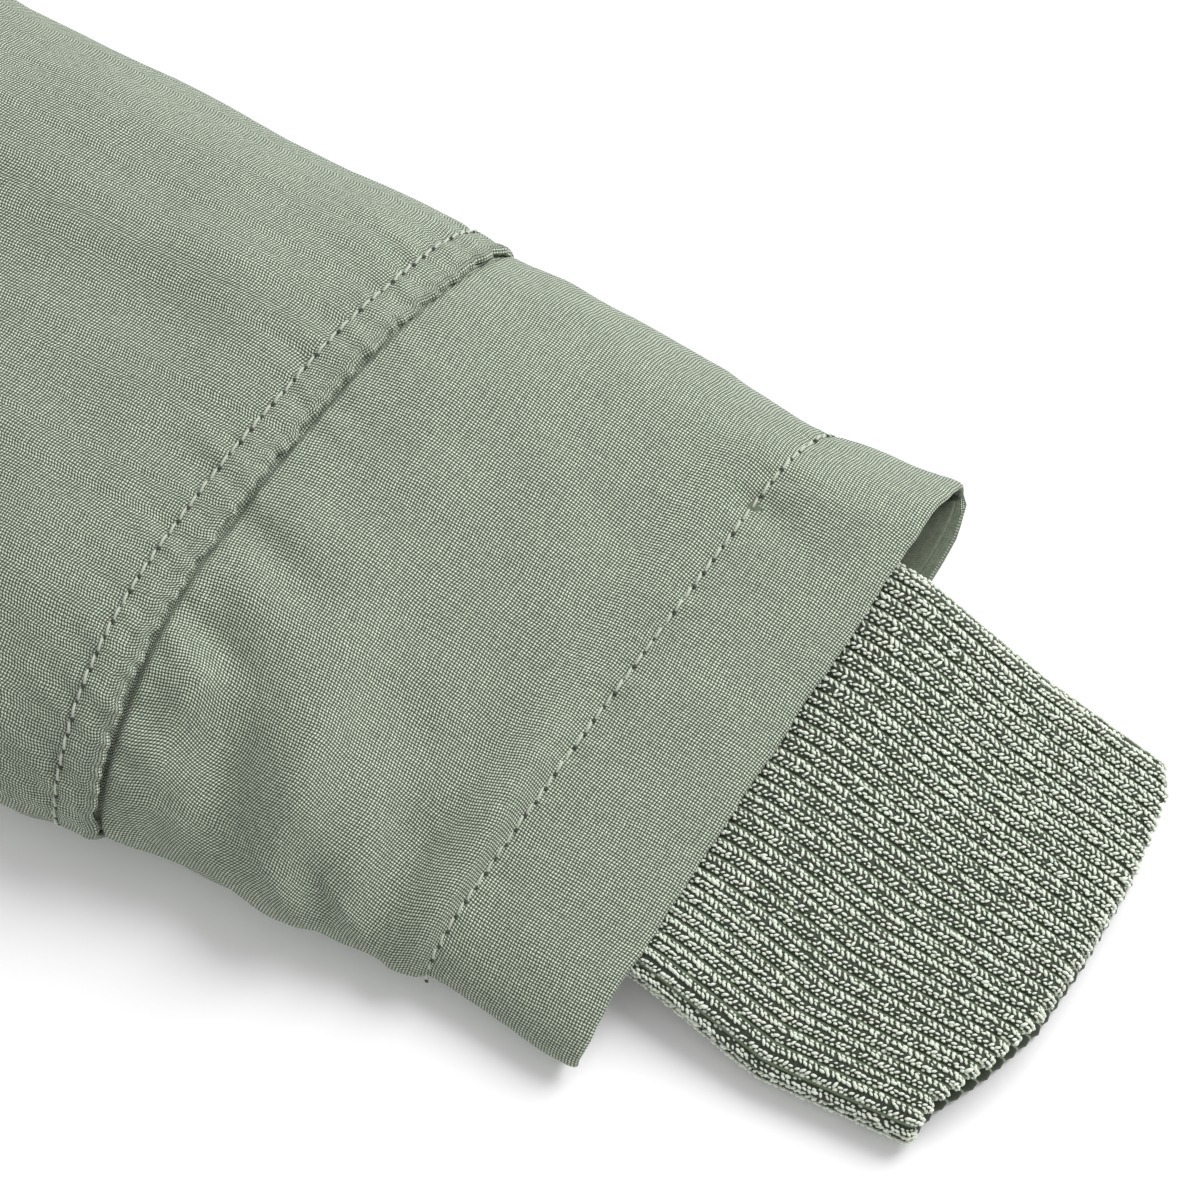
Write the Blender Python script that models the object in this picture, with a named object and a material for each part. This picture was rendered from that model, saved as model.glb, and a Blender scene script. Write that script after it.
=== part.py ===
"""A hooded parka laid flat on its back, face up, with its zip closed and its rib cuffs out.

Metres, +Z up, collar towards +Y, the wearer's left sleeve at +X. The garment is two
layers of cloth, a flat lower one and a crowned upper one, that meet in folds round the
outline. Every panel is a wall whose outer points come from one pair of height
functions, so neighbouring panels meet along their seams.
"""

import math

import bpy
import numpy as np

# --- Driving sizes, in metres -------------------------------------------------------

SHELL_WALL = 0.0016  # shell cloth
FACING_WALL = 0.0009  # turned facing inside the sleeve hem
RIB_WALL = 0.0021  # folded rib knit
SEAM_GAP = 0.0004  # kept between two pieces that are sewn together
LAY_GAP = 0.0003  # kept between two pieces that only lie on each other

BODY_LENGTH = 0.760  # hem to the highest point of the shoulder
NECK_HALF = 0.088
FRONT_NECK_DROP = 0.085
BACK_NECK_DROP = 0.016
SHOULDER_TIP = (0.225, 0.720)
UNDERARM = (0.275, 0.475)
FRONT_EDGE = 0.0062  # front edges stand this far either side of the zip's centre

SLEEVE_HEADING = math.radians(42)  # below the X axis
SLEEVE_REACH = 0.530  # middle of the armhole to the middle of the sleeve hem
OUT_OF_SQUARE = 0.0040  # the sleeve's hem and seam run this much out of square at each fold
UNDER_SKEW = 0.0065  # the lower layer's hem reaches out, and back, by this over the upper one's
FOREARM_SEAM = 0.0908  # up the sleeve from its hem
FACING_SET_BACK = 0.0025
FACING_GAP = 0.0005  # to the sleeve round it
FACING_END = 0.031
SEAM_BAND = 0.0068  # pressed allowance above the forearm seam
SEAM_BAND_RISE = 0.0007

BODY_CROWN = 0.030  # height of the upper layer over the floor
HOOD_CROWN_RISE = 0.014
FOLD_HEIGHT = 0.012  # height of the folds round the outline
HEM_FOLD_HEIGHT = 0.0042
FOLD_REACH = 0.045  # how far in from a fold the upper layer keeps rising
UNDER_REACH = 0.017  # how far in from a fold the lower layer reaches the floor

HOOD_TOP = 1.100
HOOD_STRIP_HALF = 0.055
HOOD_FOREHEAD = 1.018

CUFF_TURN = math.radians(7)  # the rib cuff lies this much further down than the sleeve
CUFF_OUT = 0.058
CUFF_ROOT = 0.065
CUFF_HALF_AT_HEM = 0.0434
CUFF_HALF_AT_END = 0.0408
CUFF_BULGE = 0.0042  # its inner edge stands out by this between the hem and its end
CUFF_HEIGHT = 0.0074
ROOT_GAP = 0.0011  # clears the flats of the sleeve's wall
CUFF_INNER_LIFT = 0.0033  # over the sleeve's lower wall and facing
RIB_COUNT = 27
RIB_RELIEF = 0.0007

ZIP_TAPE_HALF = 0.017
ZIP_TAPE_THICK = 0.0010
ZIP_CHAIN_HALF = 0.0030
ZIP_CHAIN_THICK = 0.0022
ZIP_BOTTOM = 0.012
ZIP_TOP = 0.662
SLIDER_Y = 0.650
SLIDER_LENGTH = 0.012
SLIDER_HALF = 0.0052
BRIDGE_HALF_LENGTH = 0.0046
BRIDGE_HALF_WIDTH = 0.0011
BRIDGE_RISE = 0.0036
BRIDGE_BAR = 0.0011
TAB_LENGTH = 0.028
TAB_HALF = 0.0036
TAB_THICK = 0.0013
TAB_EYE_LENGTH = 0.0066
TAB_ARM_WIDTH = 0.0012
TAB_DROOP = math.radians(4)

# Sleeve outline, measured up the sleeve from its hem and out from its axis.
SLEEVE_OUTER = (
    ("from_hem", "out"),
    (-0.0040, 0.0655),
    (0.010, 0.0634),
    (0.024, 0.0614),
    (0.050, 0.0629),
    (0.071, 0.0629),
    (0.090, 0.0624),
    (0.097, 0.0630),
    (0.147, 0.0642),
    (0.195, 0.0656),
    (0.250, 0.0725),
    (0.330, 0.0855),
    (0.420, 0.0990),
    (0.500, 0.1070),
    (0.560, 0.1030),
)
SLEEVE_INNER = (
    ("from_hem", "out"),
    (0.004, 0.0644),
    (0.019, 0.0632),
    (0.034, 0.0614),
    (0.040, 0.0640),
    (0.048, 0.0648),
    (0.067, 0.0664),
    (0.086, 0.0672),
    (0.092, 0.0684),
    (0.098, 0.0702),
    (0.106, 0.0712),
    (0.115, 0.0720),
    (0.160, 0.0735),
    (0.220, 0.0745),
    (0.320, 0.0752),
    (0.390, 0.0760),
)
# Sections of the sleeve: height of its upper layer, how fast that rises towards the outer
# fold, how far its rings bow up the sleeve, which way the bow leans (under 1 is towards
# the outer fold), and the reach of its rounded folds.
SLEEVE_SECTIONS = (
    ("from_hem", "crown", "tilt", "bow", "lean", "reach"),
    (0.000, 0.0165, 0.07, 0.0000, 0.70, 0.020),
    (0.031, 0.0225, 0.10, 0.0020, 0.80, 0.026),
    (0.060, 0.0310, 0.06, 0.0042, 1.20, 0.036),
    (0.095, 0.0385, 0.00, 0.0060, 1.50, 0.045),
    (0.200, 0.0385, 0.00, 0.0030, 1.00, 0.045),
    (0.300, 0.0365, 0.00, 0.0000, 1.00, 0.045),
    (0.450, BODY_CROWN, 0.00, 0.0000, 1.00, 0.045),
)
SIDE_SEAM = (
    ("x", "y"),
    (0.286, 0.000),
    (0.282, 0.140),
    (0.274, 0.310),
    (0.271, 0.410),
)
ARMHOLE = (
    ("x", "y"),
    (0.2480, 0.5150),
    (0.2290, 0.5700),
    (0.2215, 0.6350),
    (0.2235, 0.6950),
)
HOOD_OUTLINE = (
    ("x", "y"),
    (0.104, 0.7900),
    (0.138, 0.8500),
    (0.157, 0.9200),
    (0.157, 0.9900),
    (0.137, 1.0480),
    (0.102, 1.0840),
)
HOOD_RIM = (
    ("x", "y"),
    (0.026, 0.7000),
    (0.058, 0.7450),
    (0.084, 0.8050),
    (0.097, 0.8750),
    (0.095, 0.9400),
    (0.079, 0.9950),
)
FRONT_NECK = (
    ("x", "y"),
    (0.0350, 0.6800),
    (0.0620, 0.6990),
    (0.0800, 0.7260),
)

# How far the cuff's knitted end reaches at shares across it, from its outer edge.
CUFF_END = (
    ("share", "out"),
    (0.00, 0.0542),
    (0.06, 0.0574),
    (0.25, 0.0611),
    (0.47, 0.0628),
    (0.65, 0.0631),
    (0.80, 0.0603),
    (0.92, 0.0566),
    (1.00, 0.0562),
)

# Half of the pull tab's outline, from its bar to its tip.
TAB_OUTLINE = (
    ("share_of_half", "down"),
    (1.00, 0.0),
    (0.92, 0.5 * TAB_LENGTH),
    (0.80, TAB_LENGTH - 0.002),
    (0.45, TAB_LENGTH),
)

# Soft folds of the upper layer. x and y are the middle of the fold, heading is in
# degrees from +X, and a negative height is a trough.
FOLDS = (
    ("x", "y", "heading", "length", "width", "height"),
    (0.165, 0.560, 118, 0.30, 0.050, 0.0050),
    (0.110, 0.430, 100, 0.34, 0.060, 0.0040),
    (0.200, 0.300, 82, 0.30, 0.050, -0.0035),
    (-0.150, 0.540, 64, 0.32, 0.052, 0.0045),
    (-0.190, 0.380, 96, 0.34, 0.056, -0.0035),
    (-0.110, 0.240, 84, 0.30, 0.060, 0.0040),
    (0.130, 0.130, 94, 0.26, 0.060, 0.0035),
    (0.330, 0.530, 138, 0.26, 0.040, 0.0050),
    (0.420, 0.440, 141, 0.24, 0.036, -0.0040),
    (0.390, 0.520, 150, 0.20, 0.034, 0.0035),
    (-0.340, 0.540, 44, 0.26, 0.040, 0.0045),
    (-0.440, 0.420, 38, 0.24, 0.036, -0.0040),
    (-0.500, 0.400, 30, 0.18, 0.034, 0.0030),
)
# Creases that run in from the sleeve's inner fold, where its seam draws the cloth up.
SLEEVE_CREASES = (
    ("from_hem", "out", "heading", "length", "width", "height"),
    (0.034, -0.048, 96, 0.034, 0.009, -0.0016),
    (0.048, -0.047, 70, 0.040, 0.009, -0.0018),
    (0.064, -0.043, 84, 0.036, 0.010, 0.0012),
    (0.082, -0.046, 62, 0.046, 0.010, -0.0022),
    (0.070, 0.012, 28, 0.100, 0.030, 0.0012),
    (0.045, -0.020, 118, 0.080, 0.022, -0.0010),
)

# Shares of the way across a layer at which points stand, close together by the folds.
RING_SHARES = (0, 0.015, 0.05, 0.12, 0.24, 0.41, 0.59, 0.76, 0.88, 0.95, 0.985, 1)
SIDE_SHARES = (0, 0.14, 0.30, 0.46, 0.62, 0.76, 0.88)
HEM_SHARES = (0, 0.15, 0.30, 0.44, 0.56, 0.67, 0.76, 0.84, 0.90, 0.945, 0.975, 0.992, 1)
NECK_SHARES = (0, 0.24, 0.45, 0.64, 0.80, 0.92, 1)
SHOULDER_SHARES = (0.17, 0.38, 0.60, 0.80, 0.94, 1)
FOREARM_STATIONS = (
    0, 0.0025, 0.009, 0.016, 0.024, 0.031, 0.036, 0.042, 0.049, 0.058, 0.068, 0.078, 0.086,
)
UPPER_SLEEVE_SHARES = (0, 0.05, 0.12, 0.20, 0.29, 0.39, 0.50, 0.61, 0.72, 0.82, 0.91, 1)
HOOD_SHARES = (
    0, 0.05, 0.11, 0.18, 0.25, 0.32, 0.39, 0.46, 0.53, 0.60, 0.67, 0.74, 0.81, 0.87, 0.92,
    0.96, 0.985, 1,
)
HOOD_FOREHEAD_RING = 12  # the ring that meets the rim's upper end
HOOD_BASE_SHARES = (0, 0.40, 0.72, 0.92, 1)  # strip seam to the neck point, on the lower layer
UNDER_CUFF_SHARES = (0.995, 0.985, 0.965, 0.92, 0.70, 0.5, 0.30, 0.08, 0.035, 0.015, 0.005)

COLOURS = {
    "shell": ((0.300, 0.345, 0.268), 0.80, 0.0),
    "rib": ((0.290, 0.335, 0.262), 0.90, 0.0),
    "facing": ((0.215, 0.250, 0.190), 0.75, 0.0),
    "tape": ((0.235, 0.272, 0.208), 0.85, 0.0),
    "zip_metal": ((0.300, 0.300, 0.285), 0.35, 1.0),
}


# --- Curves -------------------------------------------------------------------------


def rows(table):
    """The rows of a table under its column names, as an array."""
    return np.array(table[1:], float)


def smooth_path(points, step=0.004):
    """A Catmull-Rom curve through the points, as points about step apart."""
    p = np.asarray(points, float)
    p = np.vstack([2 * p[0] - p[1], p, 2 * p[-1] - p[-2]])
    path = []
    for a, b, c, d in zip(p[:-3], p[1:-2], p[2:-1], p[3:]):
        count = max(2, int(np.linalg.norm(c - b) / step))
        t = np.linspace(0, 1, count, endpoint=False)[:, None]
        path.append(
            0.5 * (2 * b + (c - a) * t + (2 * a - 5 * b + 4 * c - d) * t**2)
            + 0.5 * (3 * b - a - 3 * c + d) * t**3
        )
    return np.vstack(path + [p[-2:-1]])


def along(path, shares):
    """Points at these shares of a path's length."""
    reach = np.concatenate([[0], np.cumsum(np.linalg.norm(np.diff(path, axis=0), axis=1))])
    at = np.asarray(shares, float) * reach[-1]
    return np.stack([np.interp(at, reach, path[:, k]) for k in range(path.shape[1])], axis=-1)


def set_off(path, gap):
    """A path moved square to itself, to its left."""
    run = np.gradient(path, axis=0)
    square = np.stack([-run[:, 1], run[:, 0]], axis=1)
    return path + gap * square / np.linalg.norm(square, axis=1)[:, None]


def smoothstep(t):
    """0 below 0, 1 above 1, and a smooth rise between them."""
    t = np.clip(t, 0, 1)
    return t * t * (3 - 2 * t)


# --- The sleeve's own axes -----------------------------------------------------------

TO_HEM = np.array([math.cos(SLEEVE_HEADING), -math.sin(SLEEVE_HEADING)])
OUTWARD = np.array([math.sin(SLEEVE_HEADING), math.cos(SLEEVE_HEADING)])
ARMHOLE_MIDDLE = (np.array(SHOULDER_TIP) + np.array(UNDERARM)) / 2
SLEEVE_HEM_MIDDLE = ARMHOLE_MIDDLE + SLEEVE_REACH * TO_HEM


def from_sleeve(from_hem, out):
    """Plan points of the +X sleeve, from distances up it and out from its axis."""
    from_hem, out = np.asarray(from_hem, float), np.asarray(out, float)
    return SLEEVE_HEM_MIDDLE - from_hem[..., None] * TO_HEM + out[..., None] * OUTWARD


def to_sleeve(plan):
    """(distance up the sleeve, distance out) of plan points, with either side taken as +X."""
    away = np.stack([np.abs(plan[..., 0]), plan[..., 1]], axis=-1) - SLEEVE_HEM_MIDDLE
    return -away @ TO_HEM, away @ OUTWARD


NECK_POINT = np.array([NECK_HALF, BODY_LENGTH])
OUTER_SLEEVE_FOLD = smooth_path(
    np.vstack([from_sleeve(*rows(SLEEVE_OUTER).T), SHOULDER_TIP, NECK_POINT])
)
SECTION_PATH = smooth_path(rows(SLEEVE_SECTIONS))
SHOULDER_AT = int(np.argmin(np.linalg.norm(OUTER_SLEEVE_FOLD - SHOULDER_TIP, axis=1)))
SHOULDER_FOLD = OUTER_SLEEVE_FOLD[SHOULDER_AT:][::-1]  # neck to shoulder tip
SLEEVE_OUTER_FOLD = OUTER_SLEEVE_FOLD[: SHOULDER_AT + 1]  # sleeve hem to shoulder tip
SLEEVE_INNER_FOLD = smooth_path(
    np.vstack([from_sleeve(*(rows(SLEEVE_INNER) * (1, -1)).T), UNDERARM])
)
SIDE_FOLD = smooth_path(np.vstack([rows(SIDE_SEAM), UNDERARM]))
HOOD_FOLD = smooth_path(
    np.vstack([NECK_POINT, rows(HOOD_OUTLINE), [HOOD_STRIP_HALF, HOOD_TOP], [0, HOOD_TOP]])
)
ARMHOLE_CURVE = smooth_path(np.vstack([UNDERARM, rows(ARMHOLE), SHOULDER_TIP]))
# Each fold line has the garment on its left.
FOLD_LINES = (
    np.vstack([OUTER_SLEEVE_FOLD, HOOD_FOLD[1:]]),
    np.vstack([SIDE_FOLD, SLEEVE_INNER_FOLD[::-1][1:]]),
)


# --- Heights of the two layers ---------------------------------------------------------


def fold_distance(plan):
    """How far plan points are from the nearest fold, and the direction in from it."""
    flat = np.asarray(plan, float).reshape(-1, 2)
    side = np.where(flat[:, 0] < 0, -1.0, 1.0)
    point = np.stack([np.abs(flat[:, 0]), flat[:, 1]], axis=1)
    best = np.full(len(point), np.inf)
    inward = np.zeros_like(point)
    for line in FOLD_LINES:
        start, run = line[:-1], np.diff(line, axis=0)
        away = point[:, None] - start
        share = np.clip((away * run).sum(-1) / (run**2).sum(-1), 0, 1)
        off = away - share[..., None] * run
        distance = np.linalg.norm(off, axis=-1)
        nearest = distance.argmin(axis=1)
        pick = np.arange(len(point)), nearest
        left = np.stack([-run[nearest, 1], run[nearest, 0]], axis=1)
        left /= np.linalg.norm(left, axis=1)[:, None]
        here = distance[pick]
        direction = np.where(
            here[:, None] > 1e-5, off[pick] / np.maximum(here, 1e-9)[:, None], left
        )
        closer = here < best
        best[closer], inward[closer] = here[closer], direction[closer]
    inward[:, 0] *= side
    shape = np.shape(plan)[:-1]
    return best.reshape(shape), inward.reshape(*shape, 2)


def ridge(u, v, table):
    """Height that a table of soft folds adds at points (u, v)."""
    total = np.zeros(np.shape(u))
    for at_u, at_v, heading, length, width, height in rows(table):
        c, s = math.cos(math.radians(heading)), math.sin(math.radians(heading))
        down = (u - at_u) * c + (v - at_v) * s
        across = (v - at_v) * c - (u - at_u) * s
        total += height * np.exp(-((2 * down / length) ** 2) - (2 * across / width) ** 2)
    return total


def sleeve_value(column, from_hem):
    """A column of the sleeve's table of sections, smoothly between its rows."""
    at = SLEEVE_SECTIONS[0].index(column)
    return np.interp(from_hem, SECTION_PATH[:, 0], SECTION_PATH[:, at])


def on_sleeve(out):
    """1 within the sleeve's width of its axis, and 0 well away from it."""
    return 1 - smoothstep((np.abs(out) - 0.10) / 0.06)


def at_sleeve_end(plan):
    """1 at the sleeve's hem, falling to 0 up the forearm, and 0 away from the sleeves."""
    from_hem, out = to_sleeve(plan)
    return (1 - smoothstep(from_hem / 0.10)) * on_sleeve(out)


def crown(plan):
    """Height of the upper layer away from its folds."""
    from_hem, out = to_sleeve(plan)
    section = sleeve_value("crown", from_hem)
    section = section + sleeve_value("tilt", from_hem) * np.clip(out, -0.045, 0.045)
    height = BODY_CROWN + (section - BODY_CROWN) * on_sleeve(out)
    in_hood = smoothstep((plan[..., 1] - BODY_LENGTH + 0.02) / 0.10)
    height = height + HOOD_CROWN_RISE * in_hood * (np.abs(plan[..., 0]) < 0.25)
    by_zip = smoothstep((np.abs(plan[..., 0]) - 0.020) / 0.030)
    height = height + ridge(plan[..., 0], plan[..., 1], FOLDS) * by_zip
    near_sleeve = (np.abs(out) < 0.2) * (np.abs(plan[..., 0]) > 0.35)
    return height + ridge(from_hem, out, SLEEVE_CREASES) * near_sleeve


def fold_height(plan):
    """Height of the fold that is nearest to these points."""
    return FOLD_HEIGHT + (HEM_FOLD_HEIGHT - FOLD_HEIGHT) * at_sleeve_end(plan)


def fold_reach(plan):
    """How far in from the nearest fold the upper layer keeps rising."""
    from_hem, out = to_sleeve(plan)
    return FOLD_REACH + (sleeve_value("reach", from_hem) - FOLD_REACH) * on_sleeve(out)


def crown_slope(plan, step=0.0005):
    """The crown's slope along X and along Y."""
    slopes = []
    for axis in np.eye(2) * step:
        slopes.append((crown(plan + axis) - crown(plan - axis)) / (2 * step))
    return np.stack(slopes, axis=-1)


def upper_layer(plan, depth=0.0):
    """Points of the upper layer over a plan, and further in by depth."""
    distance, inward = fold_distance(plan)
    edge, reach = fold_height(plan), fold_reach(plan)
    rise = crown(plan) - edge
    level = 1 - np.minimum(distance / reach, 1)  # cosine of the angle round the fold
    sine = np.sqrt(1 - level**2)
    flat = -inward * (level / reach)[..., None]
    flat = flat - crown_slope(plan) * (sine**2 / rise)[..., None]
    outward = np.concatenate([flat, (sine / rise)[..., None]], axis=-1)
    outward /= np.linalg.norm(outward, axis=-1, keepdims=True)
    points = np.concatenate([plan, (edge + rise * sine)[..., None]], axis=-1)
    return points - depth * outward


def lower_layer(plan, depth=0.0):
    """Points of the lower layer over a plan, and further in by depth."""
    distance, inward = fold_distance(plan)
    edge = fold_height(plan)
    level = 1 - np.minimum(distance / UNDER_REACH, 1)
    sine = np.sqrt(1 - level**2)
    flat = -inward * (level / UNDER_REACH)[..., None]
    outward = np.concatenate([flat, -(sine / edge)[..., None]], axis=-1)
    outward /= np.linalg.norm(outward, axis=-1, keepdims=True)
    points = np.concatenate([plan, (edge * (1 - sine))[..., None]], axis=-1)
    return points - depth * outward


# --- Making solids -------------------------------------------------------------------


def material(slot):
    """The material of a slot, made once."""
    found = bpy.data.materials.get(slot)
    if found:
        return found
    colour, roughness, metallic = COLOURS[slot]
    made = bpy.data.materials.new(slot)
    made.use_nodes = True
    surface = made.node_tree.nodes["Principled BSDF"]
    surface.inputs["Base Color"].default_value = (*colour, 1)
    surface.inputs["Roughness"].default_value = roughness
    surface.inputs["Metallic"].default_value = metallic
    return made


def add_solid(name, slot, points, faces, smooth_angle=50):
    """One named object from points and faces, with its faces turned outwards."""
    points = np.asarray(points, float)
    volume = 0.0
    for face in faces:
        for b, c in zip(face[1:-1], face[2:]):
            volume += points[face[0]] @ np.cross(points[b], points[c])
    if volume < 0:
        faces = [face[::-1] for face in faces]
    mesh = bpy.data.meshes.new(name)
    mesh.from_pydata([tuple(p) for p in points], [], [tuple(int(i) for i in f) for f in faces])
    mesh.shade_smooth()
    mesh.set_sharp_from_angle(angle=math.radians(smooth_angle))
    mesh.materials.append(material(slot))
    made = bpy.data.objects.new(name, mesh)
    bpy.context.scene.collection.objects.link(made)
    return made


def add_wall(name, slot, outer, inner, closed_round=False):
    """A cloth wall between two grids of points, whose columns may close into a tube."""
    count, across = outer.shape[:2]
    at = np.arange(2 * count * across).reshape(2, count, across)
    if closed_round:
        at = np.concatenate([at, at[:, :, :1]], axis=2)
    faces = []
    for layer, turn in ((0, 1), (1, -1)):
        a, b = at[layer, :-1, :-1], at[layer, :-1, 1:]
        d, c = at[layer, 1:, :-1], at[layer, 1:, 1:]
        faces += [quad[::turn] for quad in np.stack([a, b, c, d], axis=-1).reshape(-1, 4)]
    rims = [(at[:, 0], -1), (at[:, -1], 1)]
    if not closed_round:
        rims += [(at[:, :, 0], 1), (at[:, :, -1], -1)]
    for rim, turn in rims:
        quads = np.stack([rim[0, :-1], rim[0, 1:], rim[1, 1:], rim[1, :-1]], axis=-1)
        faces += [quad[::turn] for quad in quads]
    return add_solid(name, slot, np.vstack([outer.reshape(-1, 3), inner.reshape(-1, 3)]), faces)


def mirrored(grid, side):
    """A grid of points on the +X side, or its mirror image on the other."""
    return grid * np.array([side, 1, 1])


def plan_mirrored(plan, side):
    """Plan points on the +X side, or their mirror image."""
    return plan * np.array([side, 1])


# --- Body ------------------------------------------------------------------------------


def side_boundary():
    """Plan points up the side seam and then the armhole."""
    side = along(SIDE_FOLD, SIDE_SHARES)
    return np.vstack([side, along(ARMHOLE_CURVE, RING_SHARES)])


def patch(bottom, top, left, right):
    """A grid between four edges: rows go from bottom to top and columns from left to right."""
    v = np.concatenate([[0], np.cumsum(np.linalg.norm(np.diff(right, axis=0), axis=1))])
    v = (v / v[-1])[:, None, None]
    u = np.concatenate([[0], np.cumsum(np.linalg.norm(np.diff(bottom, axis=0), axis=1))])
    u = (u / u[-1])[None, :, None]
    straight = (
        (1 - v) * (1 - u) * bottom[0]
        + (1 - v) * u * bottom[-1]
        + v * (1 - u) * top[0]
        + v * u * top[-1]
    )
    return (
        (1 - v) * bottom[None] + v * top[None] + (1 - u) * left[:, None] + u * right[:, None]
    ) - straight


def body_plan(centre_x, neck_path):
    """Plan grid of half a body panel, from its centre line out to the side seam."""
    right = side_boundary()
    hem = np.stack([centre_x + (right[0, 0] - centre_x) * np.array(HEM_SHARES)] * 2, axis=1)
    hem[:, 1] = 0
    top = np.vstack([neck_path, along(SHOULDER_FOLD, SHOULDER_SHARES)])
    height = (right[:, 1] - right[0, 1]) / (right[-1, 1] - right[0, 1])
    left = np.stack([np.full(len(right), centre_x), height * neck_path[0, 1]], axis=1)
    return patch(hem, top, left, right)


def front_neck_path():
    """Front neckline from the zip to the neck point."""
    start = [FRONT_EDGE, BODY_LENGTH - FRONT_NECK_DROP]
    return along(smooth_path(np.vstack([start, rows(FRONT_NECK), NECK_POINT])), NECK_SHARES)


def back_neck_path():
    """Back neckline from the centre back to the neck point, past the hood strip's seam."""
    drop = BODY_LENGTH - BACK_NECK_DROP
    strip = [[0, drop], [HOOD_STRIP_HALF / 2, drop]]
    rest = [[HOOD_STRIP_HALF, drop], NECK_POINT]
    curve = smooth_path([[HOOD_STRIP_HALF, drop], [0.074, drop + 0.005], NECK_POINT])
    return np.vstack([strip, rest[:1], along(curve, HOOD_BASE_SHARES[1:])])


def part_at_fold(grid, plan, gap):
    """Moves the points that stand on a fold up, or down, by half a seam gap."""
    distance, _ = fold_distance(plan)
    grid = grid.copy()
    grid[..., 2] += gap * np.maximum(0, 1 - distance / 0.004)
    return grid


def build_front(name, side):
    """A front panel: zip edge, neckline, shoulder seam, armhole and side seam."""
    plan = plan_mirrored(body_plan(FRONT_EDGE, front_neck_path()), side)
    walls = [
        part_at_fold(upper_layer(plan, depth), plan, SEAM_GAP / 2) for depth in (0, SHELL_WALL)
    ]
    add_wall(name, "shell", *walls)


def build_back():
    """The back panel, flat on the floor, with its edges curling up to the seams."""
    half = body_plan(0.0, back_neck_path())
    plan = np.concatenate([plan_mirrored(half[:, :0:-1], -1), half], axis=1)
    walls = [
        part_at_fold(lower_layer(plan, depth), plan, -SEAM_GAP / 2) for depth in (0, SHELL_WALL)
    ]
    add_wall("back", "shell", *walls)


# --- Sleeves ---------------------------------------------------------------------------


def ring_plan(outer_point, inner_point, from_hem):
    """Plan points of one sleeve ring, across the upper layer and back under it."""
    shares = np.array(RING_SHARES)[:, None]
    straight = outer_point * (1 - shares) + inner_point * shares
    leaning = shares ** sleeve_value("lean", from_hem)
    bow = sleeve_value("bow", from_hem) * 4 * leaning * (1 - leaning)
    skew = UNDER_SKEW * (1 - smoothstep(from_hem / 0.12)) * (1 - 2 * shares)
    under = straight + skew * 2 * np.sqrt(shares * (1 - shares)) * TO_HEM
    return straight - bow * TO_HEM, under[::-1]


def tube_points(upper_plan, under_plan, depth):
    """A ring's points over the upper layer and back along the lower one."""
    top = upper_layer(upper_plan, depth)
    under = lower_layer(under_plan, depth)
    return np.concatenate([top, under[..., 1:-1, :]], axis=-2)


def fold_points(line, distances):
    """Points on a sleeve fold at these distances up the sleeve from its hem."""
    up, _ = to_sleeve(line)
    return np.stack([np.interp(distances, up, line[:, k]) for k in (0, 1)], axis=-1)


def square_off(from_hem):
    """Where a ring meets the outer and the inner fold, up the sleeve from its hem."""
    return from_hem - OUT_OF_SQUARE, from_hem + OUT_OF_SQUARE


def sleeve_rings(stations):
    """Plan rings at stations up the sleeve from its hem: upper layer, then lower one."""
    at_outer, at_inner = square_off(np.array(stations))
    outer = fold_points(SLEEVE_OUTER_FOLD, at_outer)
    inner = fold_points(SLEEVE_INNER_FOLD, at_inner)
    rings = [ring_plan(*ends) for ends in zip(outer, inner, stations)]
    return np.array([r[0] for r in rings]), np.array([r[1] for r in rings])


def upper_sleeve_rings():
    """Plan rings of the upper sleeve, from the forearm seam's band up to the armhole."""
    start = FOREARM_SEAM + SEAM_GAP / 2
    band = sleeve_rings((start, start + SEAM_BAND))
    start += SEAM_BAND + 0.0012
    at_outer, at_inner = square_off(start)
    outer_top, _ = to_sleeve(np.array(SHOULDER_TIP))
    inner_top, _ = to_sleeve(np.array(UNDERARM))
    shares = np.array(UPPER_SLEEVE_SHARES)
    outer = fold_points(SLEEVE_OUTER_FOLD, at_outer + (outer_top - SEAM_GAP - at_outer) * shares)
    inner_top -= 6 * SEAM_GAP  # the armhole meets this fold at a slant
    inner = fold_points(SLEEVE_INNER_FOLD, at_inner + (inner_top - at_inner) * shares)
    armhole = set_off(along(ARMHOLE_CURVE, RING_SHARES), -1.5 * SEAM_GAP)[::-1]
    armhole[0], armhole[-1] = outer[-1], inner[-1]
    straight = np.array(RING_SHARES)[:, None]
    bend = armhole - (outer[-1] * (1 - straight) + inner[-1] * straight)
    upper, under = [], []
    for o, i, share in zip(outer, inner, shares):
        middle = start + ((outer_top + inner_top) / 2 - start) * share
        over, below = ring_plan(o, i, middle)
        upper.append(over + bend * share**2)
        under.append(below + bend[::-1] * share**2)
    return np.vstack([band[0], upper]), np.vstack([band[1], under])


def build_upper_sleeve(name, side):
    """Sleeve from the armhole to the forearm seam, where its pressed edge stands proud."""
    plans = [plan_mirrored(plan, side) for plan in upper_sleeve_rings()]
    outer, inner = (tube_points(*plans, depth) for depth in (0, SHELL_WALL))
    lift = (outer - inner) * SEAM_BAND_RISE / SHELL_WALL
    lift[..., 2] = np.maximum(lift[..., 2], 0)  # the underside stays flat on the floor
    outer[:2] += lift[:2]
    add_wall(name, "shell", outer, inner, closed_round=True)


def build_forearm(name, side):
    """Forearm panel, from its seam down to the sleeve hem."""
    rings = sleeve_rings((*FOREARM_STATIONS, FOREARM_SEAM - SEAM_GAP / 2))
    plans = [plan_mirrored(plan, side) for plan in rings]
    walls = [tube_points(*plans, depth) for depth in (0, SHELL_WALL)]
    add_wall(name, "shell", *walls, closed_round=True)


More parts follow.
